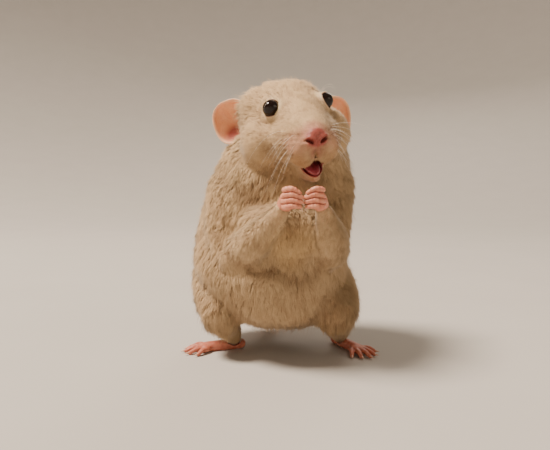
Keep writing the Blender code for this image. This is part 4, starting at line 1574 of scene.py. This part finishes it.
def claw_places():
    """Where each claw leaves its toe or finger, which way, and how long it is."""
    found = []
    for heel, toes_at in FEET:
        way = (Vector(toes_at) - Vector(heel)).normalized()
        side = Vector((-way.y, way.x, 0))
        ball_at = Vector(heel) + way * (FOOT_LENGTH - max(TOE_LENGTHS))
        for i, (length, turn) in enumerate(zip(TOE_LENGTHS, TOE_SPREAD)):
            across = (i - 2) * FOOT_WIDTH / 2 * 0.44
            point_to = math.radians(turn)
            along = way * math.cos(point_to) + side * math.sin(point_to)
            root = ball_at - way * (1.2 + 0.9 * abs(i - 2)) + side * across + Vector((0, 0, 2.0))
            found.append((root + along * length + Vector((0, 0, -0.6)), along, 2.7))
    for side, wrist in HANDS:
        for path in finger_paths(side, wrist):
            found.append((path[-1], Vector((side * -0.6, -0.2, -0.7)).normalized(), 2.0))
    return found


# Floor, light and camera


FLOOR_FLAT, FLOOR_SWEEP = 0.9, 2.9


def make_stage():
    """A pale floor that sweeps up far away on all sides, so that no horizon shows."""
    bends = np.radians(np.linspace(0, 70, 29))
    out = np.concatenate([[0.2, 0.5], FLOOR_FLAT + FLOOR_SWEEP * np.sin(bends)])
    high = np.concatenate([[0, 0], FLOOR_SWEEP * (1 - np.cos(bends))])
    around = 96
    turn = 2 * np.pi * np.arange(around) / around
    rings = [
        np.stack([r * np.cos(turn), r * np.sin(turn), np.full(around, z)], axis=1)
        for r, z in zip(out, high)
    ]
    points = np.concatenate([np.zeros((1, 3))] + rings)
    floor = new_object("floor", mesh_from("floor", points, disc_faces(len(out), around)))
    floor.data.shade_smooth()
    nodes = Nodes("pale_floor")
    nodes.set(Base_Color=nodes.mix(nodes.noise(12, 4), (0.47, 0.44, 0.41), (0.51, 0.48, 0.45)))
    nodes.set(Roughness=0.85)
    floor.data.materials.append(nodes.material)


def add_light(name, way, away, size, power, colour):
    """A round soft light, that far from the rat."""
    light = bpy.data.lights.new(name, "AREA")
    light.shape = "DISK"
    light.size = size * away
    light.energy = power * away**2
    light.color = colour
    thing = bpy.data.objects.new(name, light)
    bpy.context.scene.collection.objects.link(thing)
    way = Vector(way).normalized()
    thing.location = Vector((0, -0.02, 0.07)) + way * away
    thing.rotation_euler = (-way).to_track_quat("-Z", "Y").to_euler()


def light_studio():
    world = bpy.data.worlds.new("studio")
    bpy.context.scene.world = world
    world.use_nodes = True
    world.node_tree.nodes["Background"].inputs["Color"].default_value = (1.0, 0.82, 0.64, 1)
    world.node_tree.nodes["Background"].inputs["Strength"].default_value = 0.33
    add_light("key", (-0.60, -0.24, 1.05), 2.6, 0.32, 24.0, (1.0, 0.86, 0.71))
    add_light("fill", (0.80, -0.55, 0.35), 2.6, 0.6, 1.8, (1.0, 0.82, 0.62))
    add_light("back", (0.25, 0.75, 0.65), 2.6, 0.5, 2.4, (1.0, 0.90, 0.78))


# The picture's width, the lens's length and how far below the middle the eye level lies, in
# pixels, and the camera's place.
PICTURE_WIDTH, LENS_PIXELS, LOOKS_DOWN, CAMERA_AT = 550, 476, 28, (0, -257, 84)


def place_camera():
    """The photograph's viewpoint, low and straight in front."""
    data = bpy.data.cameras.new("camera")
    data.sensor_width = 36
    data.lens = data.sensor_width * LENS_PIXELS / PICTURE_WIDTH
    data.clip_start = 0.01
    camera = bpy.data.objects.new("camera", data)
    bpy.context.scene.collection.objects.link(camera)
    camera.location = at(*CAMERA_AT)
    camera.rotation_euler = (math.radians(90) - math.atan(LOOKS_DOWN / LENS_PIXELS), 0, 0)
    bpy.context.scene.camera = camera


# How much each solid is swollen before they are joined, how fine the joined skin is, and how
# much of its mesh is kept.
SWELL, SKIN_VOXEL, SKIN_SHARE = 0.3 * MM, 0.5 * MM, 0.35

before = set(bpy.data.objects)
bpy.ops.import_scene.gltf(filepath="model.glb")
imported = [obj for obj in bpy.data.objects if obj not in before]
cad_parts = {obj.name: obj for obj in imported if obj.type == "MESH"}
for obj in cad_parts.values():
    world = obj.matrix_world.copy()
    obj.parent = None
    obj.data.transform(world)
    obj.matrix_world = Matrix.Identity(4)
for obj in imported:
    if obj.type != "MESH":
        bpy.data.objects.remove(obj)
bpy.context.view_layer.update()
AXES = head_axes()
MIDDLE = find_middle()

skin, fields = make_skin()
dress(skin, skin_material())
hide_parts(*FLESH)
SKIN_TREE = bvhtree.BVHTree.FromObject(skin, bpy.context.evaluated_depsgraph_get())

make_coat(skin, fields, coat_material())
eye_finish, lid_finish = eye_material(), lid_material()
make_eye(1, "eye_left", eye_finish, lid_finish)
make_eye(-1, "eye_right", eye_finish, lid_finish)
ear_finish = ear_material()
hand_finish = paw_material("bare_pink_hand", (0.56, 0.19, 0.115), (0.71, 0.32, 0.205))
foot_finish = paw_material("bare_red_foot", (0.40, 0.105, 0.062), (0.55, 0.195, 0.125))
for ear_name, pose in EARS.items():
    make_ear(ear_name, *pose, ear_finish)
for paw_name in ("hand_left", "hand_right", "foot_left", "foot_right"):
    make_paw(paw_name, hand_finish if paw_name.startswith("hand") else foot_finish)
make_claws(horn_material("pale_claw", (0.50, 0.27, 0.19), (0.74, 0.50, 0.38), 0.35))
make_tail(tail_material())
make_tongue(tongue_material())
make_whiskers(horn_material("pale_whisker", (0.80, 0.70, 0.58), (0.95, 0.88, 0.78), 0.4))

make_stage()
light_studio()
place_camera()
